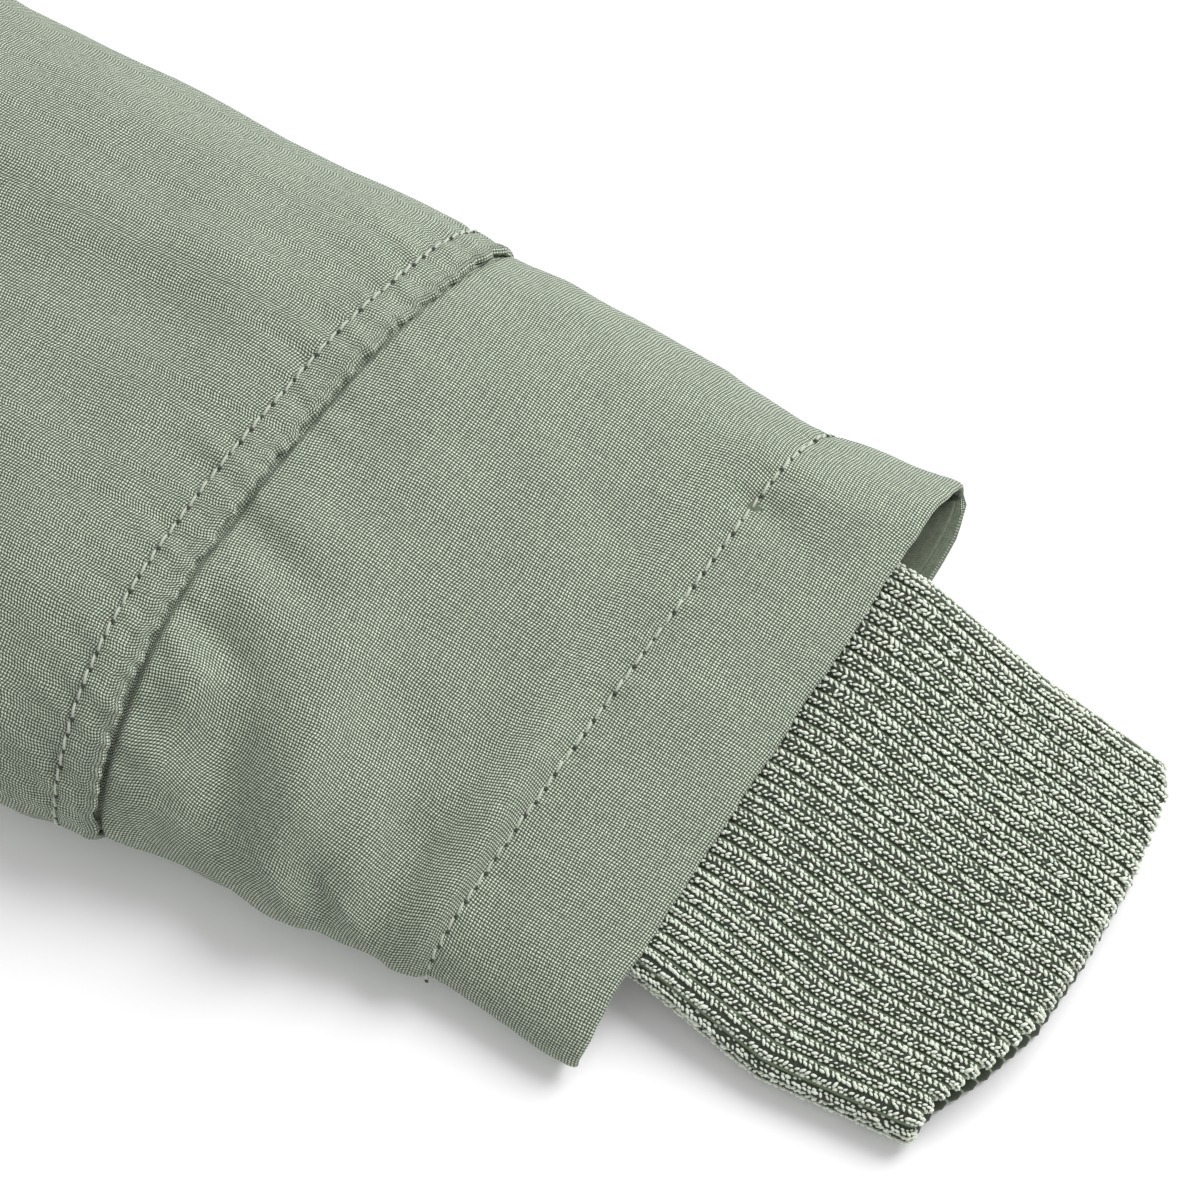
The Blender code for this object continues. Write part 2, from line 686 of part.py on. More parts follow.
def build_facing(name, side):
    """Turned facing inside the sleeve hem, set back from its edge."""
    stations = [s for s in FOREARM_STATIONS if FACING_SET_BACK <= s <= FACING_END]
    plans = [plan_mirrored(plan, side) for plan in sleeve_rings(stations)]
    outer_depth = SHELL_WALL + FACING_GAP
    walls = [tube_points(*plans, depth) for depth in (outer_depth, outer_depth + FACING_WALL)]
    add_wall(name, "facing", *walls, closed_round=True)


# --- Rib cuffs ---------------------------------------------------------------------------


def rib_shares():
    """Shares across the cuff's upper side, at each rib's crest and the valleys by it."""
    across = np.linspace(0.014, 0.986, 2 * RIB_COUNT + 1)
    return np.array([0.0, 0.005, *across, 0.995, 1.0])


def cuff_section(half_width, bulge, bottom, height, relief, depth):
    """One ring of the cuff as (out, up) pairs: over the ribs, then back underneath."""
    shares = rib_shares()
    out = half_width * (1 - 2 * shares)
    edge = height / 2  # its sides are half rounds
    level = 1 - np.minimum((half_width - np.abs(out)) / edge, 1)
    sine = np.sqrt(1 - level**2)
    flat = np.sign(out) * level / edge
    outward = np.stack([flat, sine / (height - edge)], axis=1)
    outward /= np.linalg.norm(outward, axis=1)[:, None]
    top = np.stack([out, edge + (height - edge) * sine], axis=1)
    crest = np.zeros(len(shares))
    crest[3:-2:2] = 1
    top = top + outward * ((crest - 0.5) * relief - depth)[:, None]
    out = half_width * (1 - 2 * np.array(UNDER_CUFF_SHARES))
    level = 1 - np.minimum((half_width - np.abs(out)) / edge, 1)
    sine = np.sqrt(1 - level**2)
    outward = np.stack([np.sign(out) * level, -sine], axis=1)
    outward /= np.linalg.norm(outward, axis=1)[:, None]
    under = np.stack([out, edge * (1 - sine)], axis=1) - outward * depth
    section = np.vstack([top, under]) + [0, bottom]
    section[:, 0] *= np.where(section[:, 0] < 0, 1 + bulge / half_width, 1)
    return section


def sleeve_section(from_hem, depth):
    """A ring of the sleeve's own section, with the cuff's count of points."""
    at_outer, at_inner = square_off(from_hem)
    outer = fold_points(SLEEVE_OUTER_FOLD, [at_outer])[0]
    inner = fold_points(SLEEVE_INNER_FOLD, [at_inner])[0]
    count = len(cuff_section(CUFF_HALF_AT_HEM, 0, 0, CUFF_HEIGHT, 0, 0))
    top_count = len(rib_shares())
    turn = (1 - np.cos(np.linspace(0, math.pi, top_count))) / 2
    top = outer * (1 - turn)[:, None] + inner * turn[:, None]
    turn = (1 - np.cos(np.linspace(math.pi, 0, count - top_count + 2)[1:-1])) / 2
    under = outer * (1 - turn)[:, None] + inner * turn[:, None]
    return np.concatenate([upper_layer(top, depth), lower_layer(under, depth)])


def build_cuff(name, side):
    """Rib cuff, sewn in round the sleeve's inside and flattened where it comes out."""
    inside = CUFF_INNER_LIFT, CUFF_HEIGHT
    end = CUFF_HALF_AT_END
    sections = (
        ("out", "half", "bulge", "bottom", "height", "relief", "sleeve_share"),
        (-CUFF_ROOT, CUFF_HALF_AT_HEM, 0.0, *inside, 0.0, 1.0),
        (-0.050, 0.0455, 0.0, *inside, 0.5 * RIB_RELIEF, 0.40),
        (-0.037, 0.0445, 0.0, *inside, RIB_RELIEF, 0.0),
        (0.009, CUFF_HALF_AT_HEM, 0.0024, *inside, RIB_RELIEF, 0.0),
        (0.030, 0.0420, CUFF_BULGE, 0.0, CUFF_HEIGHT, RIB_RELIEF, 0.0),
        (CUFF_OUT - 0.0015, end, 0.0005, 0.0, CUFF_HEIGHT, RIB_RELIEF, 0.0),
        (CUFF_OUT, end - 0.0008, 0.0005, 0.0005, CUFF_HEIGHT - 0.0010, RIB_RELIEF / 2, 0.0),
    )
    end_shares, end_reach = rows(CUFF_END).T
    walls = []
    for depth, relief_share in ((0.0, 1), (RIB_WALL, 0)):
        grid = []
        for out, half, bulge, bottom, height, relief, share in rows(sections):
            turn = SLEEVE_HEADING + CUFF_TURN * smoothstep((out + 0.03) / 0.05)
            ahead = np.array([math.cos(turn), -math.sin(turn)])
            aside = np.array([math.sin(turn), math.cos(turn)])
            relief *= relief_share
            section = cuff_section(half, bulge, bottom, height, relief, depth)
            across = (1 - section[:, 0] / half) / 2
            reach = np.interp(across, end_shares, end_reach) / CUFF_OUT
            reach = out * (reach if out > 0 else np.ones_like(reach))
            along_cuff = ahead if out > 0 else TO_HEM
            plan = SLEEVE_HEM_MIDDLE + reach[:, None] * along_cuff + section[:, :1] * aside
            ring = np.column_stack([plan, section[:, 1]])
            if share:
                root = sleeve_section(-out, SHELL_WALL + ROOT_GAP + depth)
                ring = ring * (1 - share) + root * share
            grid.append(ring)
        walls.append(mirrored(np.array(grid), side))
    add_wall(name, "rib", *walls, closed_round=True)


# --- Hood ---------------------------------------------------------------------------------


def hood_lines():
    """Rim and strip seam on the upper layer, outer fold, and strip seam on the lower one."""
    start = [FRONT_EDGE, BODY_LENGTH - FRONT_NECK_DROP]
    rim = smooth_path(np.vstack([start, rows(HOOD_RIM), [HOOD_STRIP_HALF, HOOD_FOREHEAD]]))
    outline = HOOD_FOLD[: int(np.argmin(np.abs(HOOD_FOLD[:, 0] - HOOD_STRIP_HALF))) + 1]
    shares = np.array(HOOD_SHARES)
    forehead = HOOD_FOREHEAD_RING
    to_forehead = shares[: forehead + 1] / shares[forehead]
    past = (shares[forehead:] - shares[forehead]) / (1 - shares[forehead])
    seam_end = HOOD_TOP - 0.0004
    seam_x = np.full(len(shares), HOOD_STRIP_HALF)
    crown_seam = HOOD_FOREHEAD + (seam_end - HOOD_FOREHEAD) * past
    upper = np.vstack(
        [along(rim, to_forehead), np.stack([seam_x[: len(past)], crown_seam], axis=1)[1:]]
    )
    base = BODY_LENGTH - BACK_NECK_DROP
    under = np.stack([seam_x, base + (seam_end - base) * shares], axis=1)
    return upper, along(outline, shares), under, forehead


def hood_edge(neck_path):
    """The hood's edge of the neck seam, which stands straight up at the neck point."""
    edge = set_off(neck_path, 1.4 * SEAM_GAP)
    edge[-1] = neck_path[-1] + [0, 1.4 * SEAM_GAP]
    return edge


def hood_side_plan():
    """Plan rings of a hood side, from its neck seam to the crown."""
    upper, outer, under, _ = hood_lines()
    across = np.array(NECK_SHARES)
    base = np.array(HOOD_BASE_SHARES[::-1])
    tops, unders = [], []
    for a, b, c in zip(upper, outer, under):
        tops.append(a + (b - a) * across[:, None])
        unders.append(c + (b - c) * base[:, None])
    tops, unders = np.array(tops), np.array(unders)
    fade = np.maximum(0, 1 - np.array(HOOD_SHARES) / 0.14)[:, None, None] ** 3
    tops += (hood_edge(front_neck_path()) - tops[0]) * fade
    unders += (hood_edge(back_neck_path()[2:])[::-1] - unders[0]) * fade
    return tops, unders


def build_hood_side(name, side):
    """A hood side: neck seam, rim, crown, and its seam with the centre strip."""
    tops, unders = (plan_mirrored(plan, side) for plan in hood_side_plan())
    walls = [tube_sheet(tops, unders, depth) for depth in (0, SHELL_WALL)]
    add_wall(name, "shell", *walls)


def tube_sheet(tops, unders, depth):
    """A sheet that goes over the upper layer, round the fold and along the lower one."""
    return np.concatenate([upper_layer(tops, depth), lower_layer(unders, depth)[:, 1:]], axis=1)


def build_hood_strip():
    """Centre strip of the hood, from the back neck up, over the crown and to the forehead."""
    upper, _, under, forehead = hood_lines()
    half = HOOD_STRIP_HALF - SEAM_GAP
    across = half * np.array([-1, -0.5, 0, 0.5, 1])
    low_y = under[:, 1].copy()
    low_y[0] += SEAM_GAP
    high_y = upper[forehead:, 1][::-1]

    def plan(heights):
        return np.stack(np.broadcast_arrays(across[None], heights[:, None]), axis=-1)

    fold = plan(np.array([HOOD_TOP]))
    walls = []
    for depth in (0, SHELL_WALL):
        parts = [lower_layer(plan(low_y), depth), upper_layer(fold, depth)]
        walls.append(np.concatenate([*parts, upper_layer(plan(high_y), depth)], axis=0))
    add_wall("hood_strip", "shell", *walls)


# --- Zip -------------------------------------------------------------------------------------


def add_prism(name, slot, outline, y0, y1, bevel=0.0):
    """A solid whose (x, z) outline runs from y0 to y1."""
    count = len(outline)
    points = [(x, y, z) for y in (y0, y1) for x, z in outline]
    faces = [list(range(count)), list(range(2 * count - 1, count - 1, -1))]
    faces += [[i, i + count, (i + 1) % count + count, (i + 1) % count] for i in range(count)]
    made = add_solid(name, slot, points, faces, smooth_angle=30)
    if bevel:
        round_off = made.modifiers.new("Bevel", "BEVEL")
        round_off.width = bevel
        round_off.limit_method = "ANGLE"
    return made


def rectangle(x0, x1, z0, z1):
    """Corners of an upright rectangle, in order."""
    return [(x0, z0), (x1, z0), (x1, z1), (x0, z1)]


TAPE_TOP = BODY_CROWN - SHELL_WALL - LAY_GAP
TAPE_BOTTOM = TAPE_TOP - ZIP_TAPE_THICK
CHAIN_BOTTOM = TAPE_TOP + LAY_GAP
CHAIN_TOP = CHAIN_BOTTOM + ZIP_CHAIN_THICK
SLIDER_BOTTOM = CHAIN_TOP + LAY_GAP
SLIDER_TOP = SLIDER_BOTTOM + 0.0014
PIVOT_HEIGHT = SLIDER_TOP + 0.0014


def build_zip():
    """Two tapes under the front edges, the closed chain between them, its stops and box."""
    for name, side in (("zip_tape_left", 1), ("zip_tape_right", -1)):
        outline = rectangle(side * 0.0003, side * ZIP_TAPE_HALF, TAPE_BOTTOM, TAPE_TOP)
        add_prism(name, "tape", outline, 0.003, ZIP_TOP + 0.006)
    chain = rectangle(-ZIP_CHAIN_HALF, ZIP_CHAIN_HALF, CHAIN_BOTTOM, CHAIN_TOP)
    add_prism("zip_chain", "zip_metal", chain, ZIP_BOTTOM, ZIP_TOP, bevel=0.0005)
    for name, side in (("zip_stop_left", 1), ("zip_stop_right", -1)):
        stop = rectangle(side * 0.0004, side * 0.0028, CHAIN_BOTTOM, CHAIN_TOP + 0.0002)
        add_prism(name, "zip_metal", stop, ZIP_TOP + LAY_GAP, ZIP_TOP + 0.0035, bevel=0.0004)
    box = rectangle(-0.0045, 0.0045, CHAIN_BOTTOM, CHAIN_TOP + 0.0006)
    add_prism("zip_box", "zip_metal", box, 0.0035, ZIP_BOTTOM - LAY_GAP, bevel=0.0006)


def build_slider():
    """Slider over the chain, with the bridge that the pull tab's bar passes under."""
    flange = ZIP_CHAIN_HALF + LAY_GAP
    outline = [
        (-SLIDER_HALF, CHAIN_BOTTOM + 0.0003),
        (-flange - 0.0003, CHAIN_BOTTOM + 0.0003),
        (-flange - 0.0003, SLIDER_BOTTOM),
        (flange + 0.0003, SLIDER_BOTTOM),
        (flange + 0.0003, CHAIN_BOTTOM + 0.0003),
        (SLIDER_HALF, CHAIN_BOTTOM + 0.0003),
        (SLIDER_HALF, SLIDER_TOP),
        (-SLIDER_HALF, SLIDER_TOP),
    ]
    low, high = SLIDER_Y - SLIDER_LENGTH / 2, SLIDER_Y + SLIDER_LENGTH / 2
    slider = add_prism("zip_slider", "zip_metal", outline, low, high)
    steps = np.linspace(0, math.pi, 9)
    foot = SLIDER_TOP - 0.0003
    points = []
    for x in (-BRIDGE_HALF_WIDTH, BRIDGE_HALF_WIDTH):
        for length, rise in (
            (BRIDGE_HALF_LENGTH, BRIDGE_RISE + 0.0003),
            (BRIDGE_HALF_LENGTH - BRIDGE_BAR, BRIDGE_RISE + 0.0003 - BRIDGE_BAR),
        ):
            for angle in steps:
                points.append(
                    (x, SLIDER_Y - length * math.cos(angle), foot + rise * math.sin(angle))
                )
    count = len(steps)
    at = np.arange(4 * count).reshape(2, 2, count)
    faces = []
    for i in range(count - 1):
        faces.append([at[0, 0, i], at[0, 0, i + 1], at[0, 1, i + 1], at[0, 1, i]])
        faces.append([at[1, 0, i], at[1, 1, i], at[1, 1, i + 1], at[1, 0, i + 1]])
        faces.append([at[0, 0, i], at[1, 0, i], at[1, 0, i + 1], at[0, 0, i + 1]])
        faces.append([at[0, 1, i], at[0, 1, i + 1], at[1, 1, i + 1], at[1, 1, i]])
    faces.append([at[0, 0, 0], at[0, 1, 0], at[1, 1, 0], at[1, 0, 0]])
    faces.append([at[0, 0, -1], at[1, 0, -1], at[1, 1, -1], at[0, 1, -1]])
    bridge = add_solid("zip_bridge", "zip_metal", points, faces)
    bridge.hide_render = True
    bridge.display_type = "WIRE"
    join = slider.modifiers.new("Bridge", "BOOLEAN")
    join.operation = "UNION"
    join.object = bridge


def build_pull_tab():
    """Pull tab: a flat plate whose eye holds a cross bar under the slider's bridge."""
    half_bar = TAB_THICK / 2
    arm = TAB_HALF - TAB_ARM_WIDTH
    edge = [(share * TAB_HALF, half_bar - down) for share, down in rows(TAB_OUTLINE)]
    outer = [(-x, y) for x, y in edge] + edge[::-1]
    eye = [(-arm, -half_bar), (-arm, -TAB_EYE_LENGTH), (arm, -TAB_EYE_LENGTH), (arm, -half_bar)]
    points = [(x, y, z) for z in (-TAB_THICK / 2, TAB_THICK / 2) for x, y in outer + eye]
    n = len(outer)
    plate = [
        [0, n, n + 1, 1],
        [1, n + 1, 2],
        [2, n + 1, 3],
        [3, n + 1, n + 2, 4],
        [4, n + 2, 5],
        [5, n + 2, 6],
        [6, n + 2, n + 3, 7],
        [7, n + 3, n, 0],
    ]
    step = n + 4
    faces = plate + [[i + step for i in face[::-1]] for face in plate]
    faces += [[i, (i + 1) % n, (i + 1) % n + step, i + step] for i in range(n)]
    for i in range(4):
        j = (i + 1) % 4
        faces.append([n + i, n + i + step, n + j + step, n + j])
    tab = add_solid("pull_tab", "zip_metal", points, faces, smooth_angle=30)
    tab.location = (0, SLIDER_Y, PIVOT_HEIGHT)
    tab.rotation_euler = (TAB_DROOP, 0, 0)


# --- The whole garment --------------------------------------------------------------------


def centre_on_floor():
    """Moves everything so that the middle of the garment's box stands on the origin."""
    bpy.context.view_layer.update()
    shown = [o for o in bpy.data.objects if o.type == "MESH"]
    heights = [(o.matrix_world @ v.co).y for o in shown for v in o.data.vertices]
    shift = -(min(heights) + max(heights)) / 2
    for made in shown:
        made.location.y += shift


def main():
    """Clears the scene and builds every piece of the parka."""
    for old in list(bpy.data.objects):
        bpy.data.objects.remove(old)
    build_back()
    for word, side in (("left", 1), ("right", -1)):
        build_front(f"front_{word}", side)
        build_upper_sleeve(f"upper_sleeve_{word}", side)
        build_forearm(f"forearm_{word}", side)
        build_facing(f"sleeve_facing_{word}", side)
        build_cuff(f"rib_cuff_{word}", side)
        build_hood_side(f"hood_side_{word}", side)
    build_hood_strip()
    build_zip()
    build_slider()
    build_pull_tab()
    centre_on_floor()


main()
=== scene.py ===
"""Looks of a hooded parka laid flat on its back: creased canvas, sewing, rib cuffs and zip.

Metres, +Z up, collar towards +Y, the wearer's left sleeve at +X. Each cloth piece is a thin
shell on the form of the solid that it stands for, so the heights of the garment's two layers
are worked out here from the same sizes. Finer creases, puckers and sewing come on top.
"""

from __future__ import annotations

import logging
import math
from dataclasses import dataclass, field
from enum import Enum
from typing import Callable, Sequence

import bmesh
import bpy
import numpy as np
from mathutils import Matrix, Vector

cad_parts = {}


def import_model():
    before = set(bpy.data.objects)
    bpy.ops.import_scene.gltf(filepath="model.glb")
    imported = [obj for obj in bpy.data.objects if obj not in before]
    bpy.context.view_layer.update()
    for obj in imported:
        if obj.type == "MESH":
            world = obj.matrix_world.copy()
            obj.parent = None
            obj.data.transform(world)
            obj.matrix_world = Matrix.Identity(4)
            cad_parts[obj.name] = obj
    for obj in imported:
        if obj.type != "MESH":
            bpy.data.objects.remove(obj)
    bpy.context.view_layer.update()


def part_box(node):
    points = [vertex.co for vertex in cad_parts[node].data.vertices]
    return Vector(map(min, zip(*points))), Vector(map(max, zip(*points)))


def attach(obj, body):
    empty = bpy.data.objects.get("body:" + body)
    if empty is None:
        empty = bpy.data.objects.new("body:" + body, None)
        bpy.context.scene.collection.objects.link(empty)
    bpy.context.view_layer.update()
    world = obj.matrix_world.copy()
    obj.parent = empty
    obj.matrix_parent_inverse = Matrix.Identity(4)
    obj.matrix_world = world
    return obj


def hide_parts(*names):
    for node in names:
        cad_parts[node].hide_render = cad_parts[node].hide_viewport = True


LOG = logging.getLogger("parka")
Array = np.ndarray
Table = Sequence[Sequence]
SIDES = (("left", 1), ("right", -1))
COAT = "coat"

# Points nearer than this become one, and lines of stitches lie this far above the cloth.
SAME_PLACE = 2e-6
STITCH_RISE = 0.0002

# The shader's sockets whose names aren't their labels here.
SOCKETS = {
    "sheen": "Sheen Weight",
    "sheen_roughness": "Sheen Roughness",
    "specular": "Specular IOR Level",
    "base": "Base Color",
    "glow": "Emission Color",
    "glow_strength": "Emission Strength",
}


# --- Curves ---


def rows(table: Table) -> Array:
    """The rows of a table under its column names, as an array."""
    return np.array(table[1:], float)


def smooth_path(points: Array, step: float = 0.004) -> Array:
    """A Catmull-Rom curve through points.

    Args:
        points: what the curve passes through.
        step: how far apart its points lie.

    Returns:
        The points along the curve.
    """
    p = np.asarray(points, float)
    p = np.vstack([2 * p[0] - p[1], p, 2 * p[-1] - p[-2]])
    path = []
    for a, b, c, d in zip(p[:-3], p[1:-2], p[2:-1], p[3:]):
        count = max(2, int(np.linalg.norm(c - b) / step))
        t = np.linspace(0, 1, count, endpoint=False)[:, None]
        path.append(
            0.5 * (2 * b + (c - a) * t + (2 * a - 5 * b + 4 * c - d) * t**2)
            + 0.5 * (3 * b - a - 3 * c + d) * t**3
        )
    return np.vstack(path + [p[-2:-1]])


def lengths_along(path: Array) -> Array:
    """Distance of each point of a path from its start."""
    return np.concatenate([[0], np.cumsum(np.linalg.norm(np.diff(path, axis=0), axis=1))])


def along(path: Array, shares: Array) -> Array:
    """Points at these shares of a path's length."""
    reach = lengths_along(path)
    at = np.asarray(shares, float) * reach[-1]
    return np.stack([np.interp(at, reach, path[:, k]) for k in range(path.shape[1])], axis=-1)


def set_off(path: Array, gap: float) -> Array:
    """A path moved square to itself, to its left."""
    run = np.gradient(path, axis=0)
    square = np.stack([-run[:, 1], run[:, 0]], axis=1)
    return path + gap * square / np.linalg.norm(square, axis=1)[:, None]


def smoothstep(t: Array) -> Array:
    """0 below 0, 1 above 1, and a smooth rise between them."""
    t = np.clip(t, 0, 1)
    return t * t * (3 - 2 * t)


def unit(vectors: Array) -> Array:
    """Vectors scaled to length 1."""
    return vectors / np.maximum(np.linalg.norm(vectors, axis=-1, keepdims=True), 1e-12)


def eased(count: int) -> Array:
    """Shares from 0 to 1 that stand closest together at both ends."""
    return (1 - np.cos(np.linspace(0, math.pi, count))) / 2


def hump(away: Array, width: float) -> Array:
    """A rounded rise of height 1 at 0, which is gone some two widths away."""
    return np.exp(-((away / width) ** 2))


def fading(away: Array, reach: float) -> Array:
    """1 at 0, falling off over a reach."""
    return np.exp(-np.abs(away) / reach)


def spaced(total: float, first: float, middle: float, last: float) -> Array:
    """Distances from 0 to total, an odd count, closer together towards the ends.

    Args:
        total: the last distance.
        first: the step at 0.
        middle: the longest step.
        last: the step at the end.

    Returns:
        The distances.
    """
    growth = 0.14
    at = [0.0]
    while at[-1] < total:
        left = max(total - at[-1], 0.0)
        at.append(at[-1] + min(first + growth * at[-1], middle, last + growth * left))
    if len(at) % 2 == 0:
        at.pop()
    return np.array(at) * total / at[-1]


def through(positions: Array, place: float) -> Array:
    """The positions, with the one that is nearest to a place moved there."""
    result = positions.copy()
    result[1 + np.abs(positions[1:-1] - place).argmin()] = place
    return result


def nearest_on(line: Array, points: Array) -> tuple[Array, Array, Array, Array]:
    """The nearest places on a line of the plan.

    Args:
        line: the line's points.
        points: a list of plan points.

    Returns:
        How far each point is from the line, the way from the line to it, the number of the
        nearest stretch of the line, and how far along the line that place lies.
    """
    start, run = line[:-1], np.diff(line, axis=0)
    reach = lengths_along(line)
    found = []
    for low in range(0, len(points), 4096):
        away = points[low : low + 4096, None] - start
        share = np.clip((away * run).sum(-1) / (run**2).sum(-1), 0, 1)
        off = away - share[..., None] * run
        distance = np.linalg.norm(off, axis=-1)
        nearest = distance.argmin(axis=1)
        pick = np.arange(len(away)), nearest
        position = reach[nearest] + share[pick] * (reach[nearest + 1] - reach[nearest])
        found.append((distance[pick], off[pick], nearest, position))
    return tuple(np.concatenate(part) for part in zip(*found))


# --- Unevenness of cloth ---


def uneven_wave(at: Array, pitch: float, seed: int) -> Array:
    """A wave from about -1 to 1 that repeats unevenly, about every pitch."""
    phases = np.random.default_rng(seed).uniform(0, 2 * math.pi, 4)
    wave = np.zeros(np.shape(at))
    for share, stretch, phase in zip((0.5, 0.3, 0.3, 0.15), (1.0, 0.71, 1.43, 0.52), phases):
        wave += share * np.sin(2 * math.pi * at / (pitch * stretch) + phase)
    return wave


def ridge(u: Array, v: Array, table: Table) -> Array:
    """Height that a table of soft folds adds at points (u, v)."""
    total = np.zeros(np.shape(u))
    for at_u, at_v, heading, length, width, height in rows(table):
        c, s = math.cos(math.radians(heading)), math.sin(math.radians(heading))
        down = (u - at_u) * c + (v - at_v) * s
        across = (v - at_v) * c - (u - at_u) * s
        total += height * np.exp(-((2 * down / length) ** 2) - (2 * across / width) ** 2)
    return total


def off_the_floor(outward: Array) -> Array:
    """1 where cloth faces up or aside, and 0 where it lies on the floor."""
    return smoothstep((outward[..., 2] + 0.98) / 0.5)


def moved(points: Array, way: Array, by: Array) -> Array:
    """Points moved along directions, each by its own distance."""
    return points + way * by[..., None]


@dataclass(frozen=True)
class Crumple:
    """Gentle unevenness: a sum of waves in many directions."""

    wavelength: float
    height: float
    seed: int
    waves: int = 22

    def at(self, u: Array, v: Array) -> Array:
        """Height at points (u, v)."""
        random = np.random.default_rng(self.seed)
        total = np.zeros(np.shape(u))
        for _ in range(self.waves):
            turn, phase = random.uniform(0, 2 * math.pi, 2)
            number = 2 * math.pi / (self.wavelength * random.uniform(0.65, 1.7))
            total += np.cos(number * (u * math.cos(turn) + v * math.sin(turn)) + phase)
        return self.height * total / math.sqrt(self.waves / 2)


# --- The form that the garment lies in ---


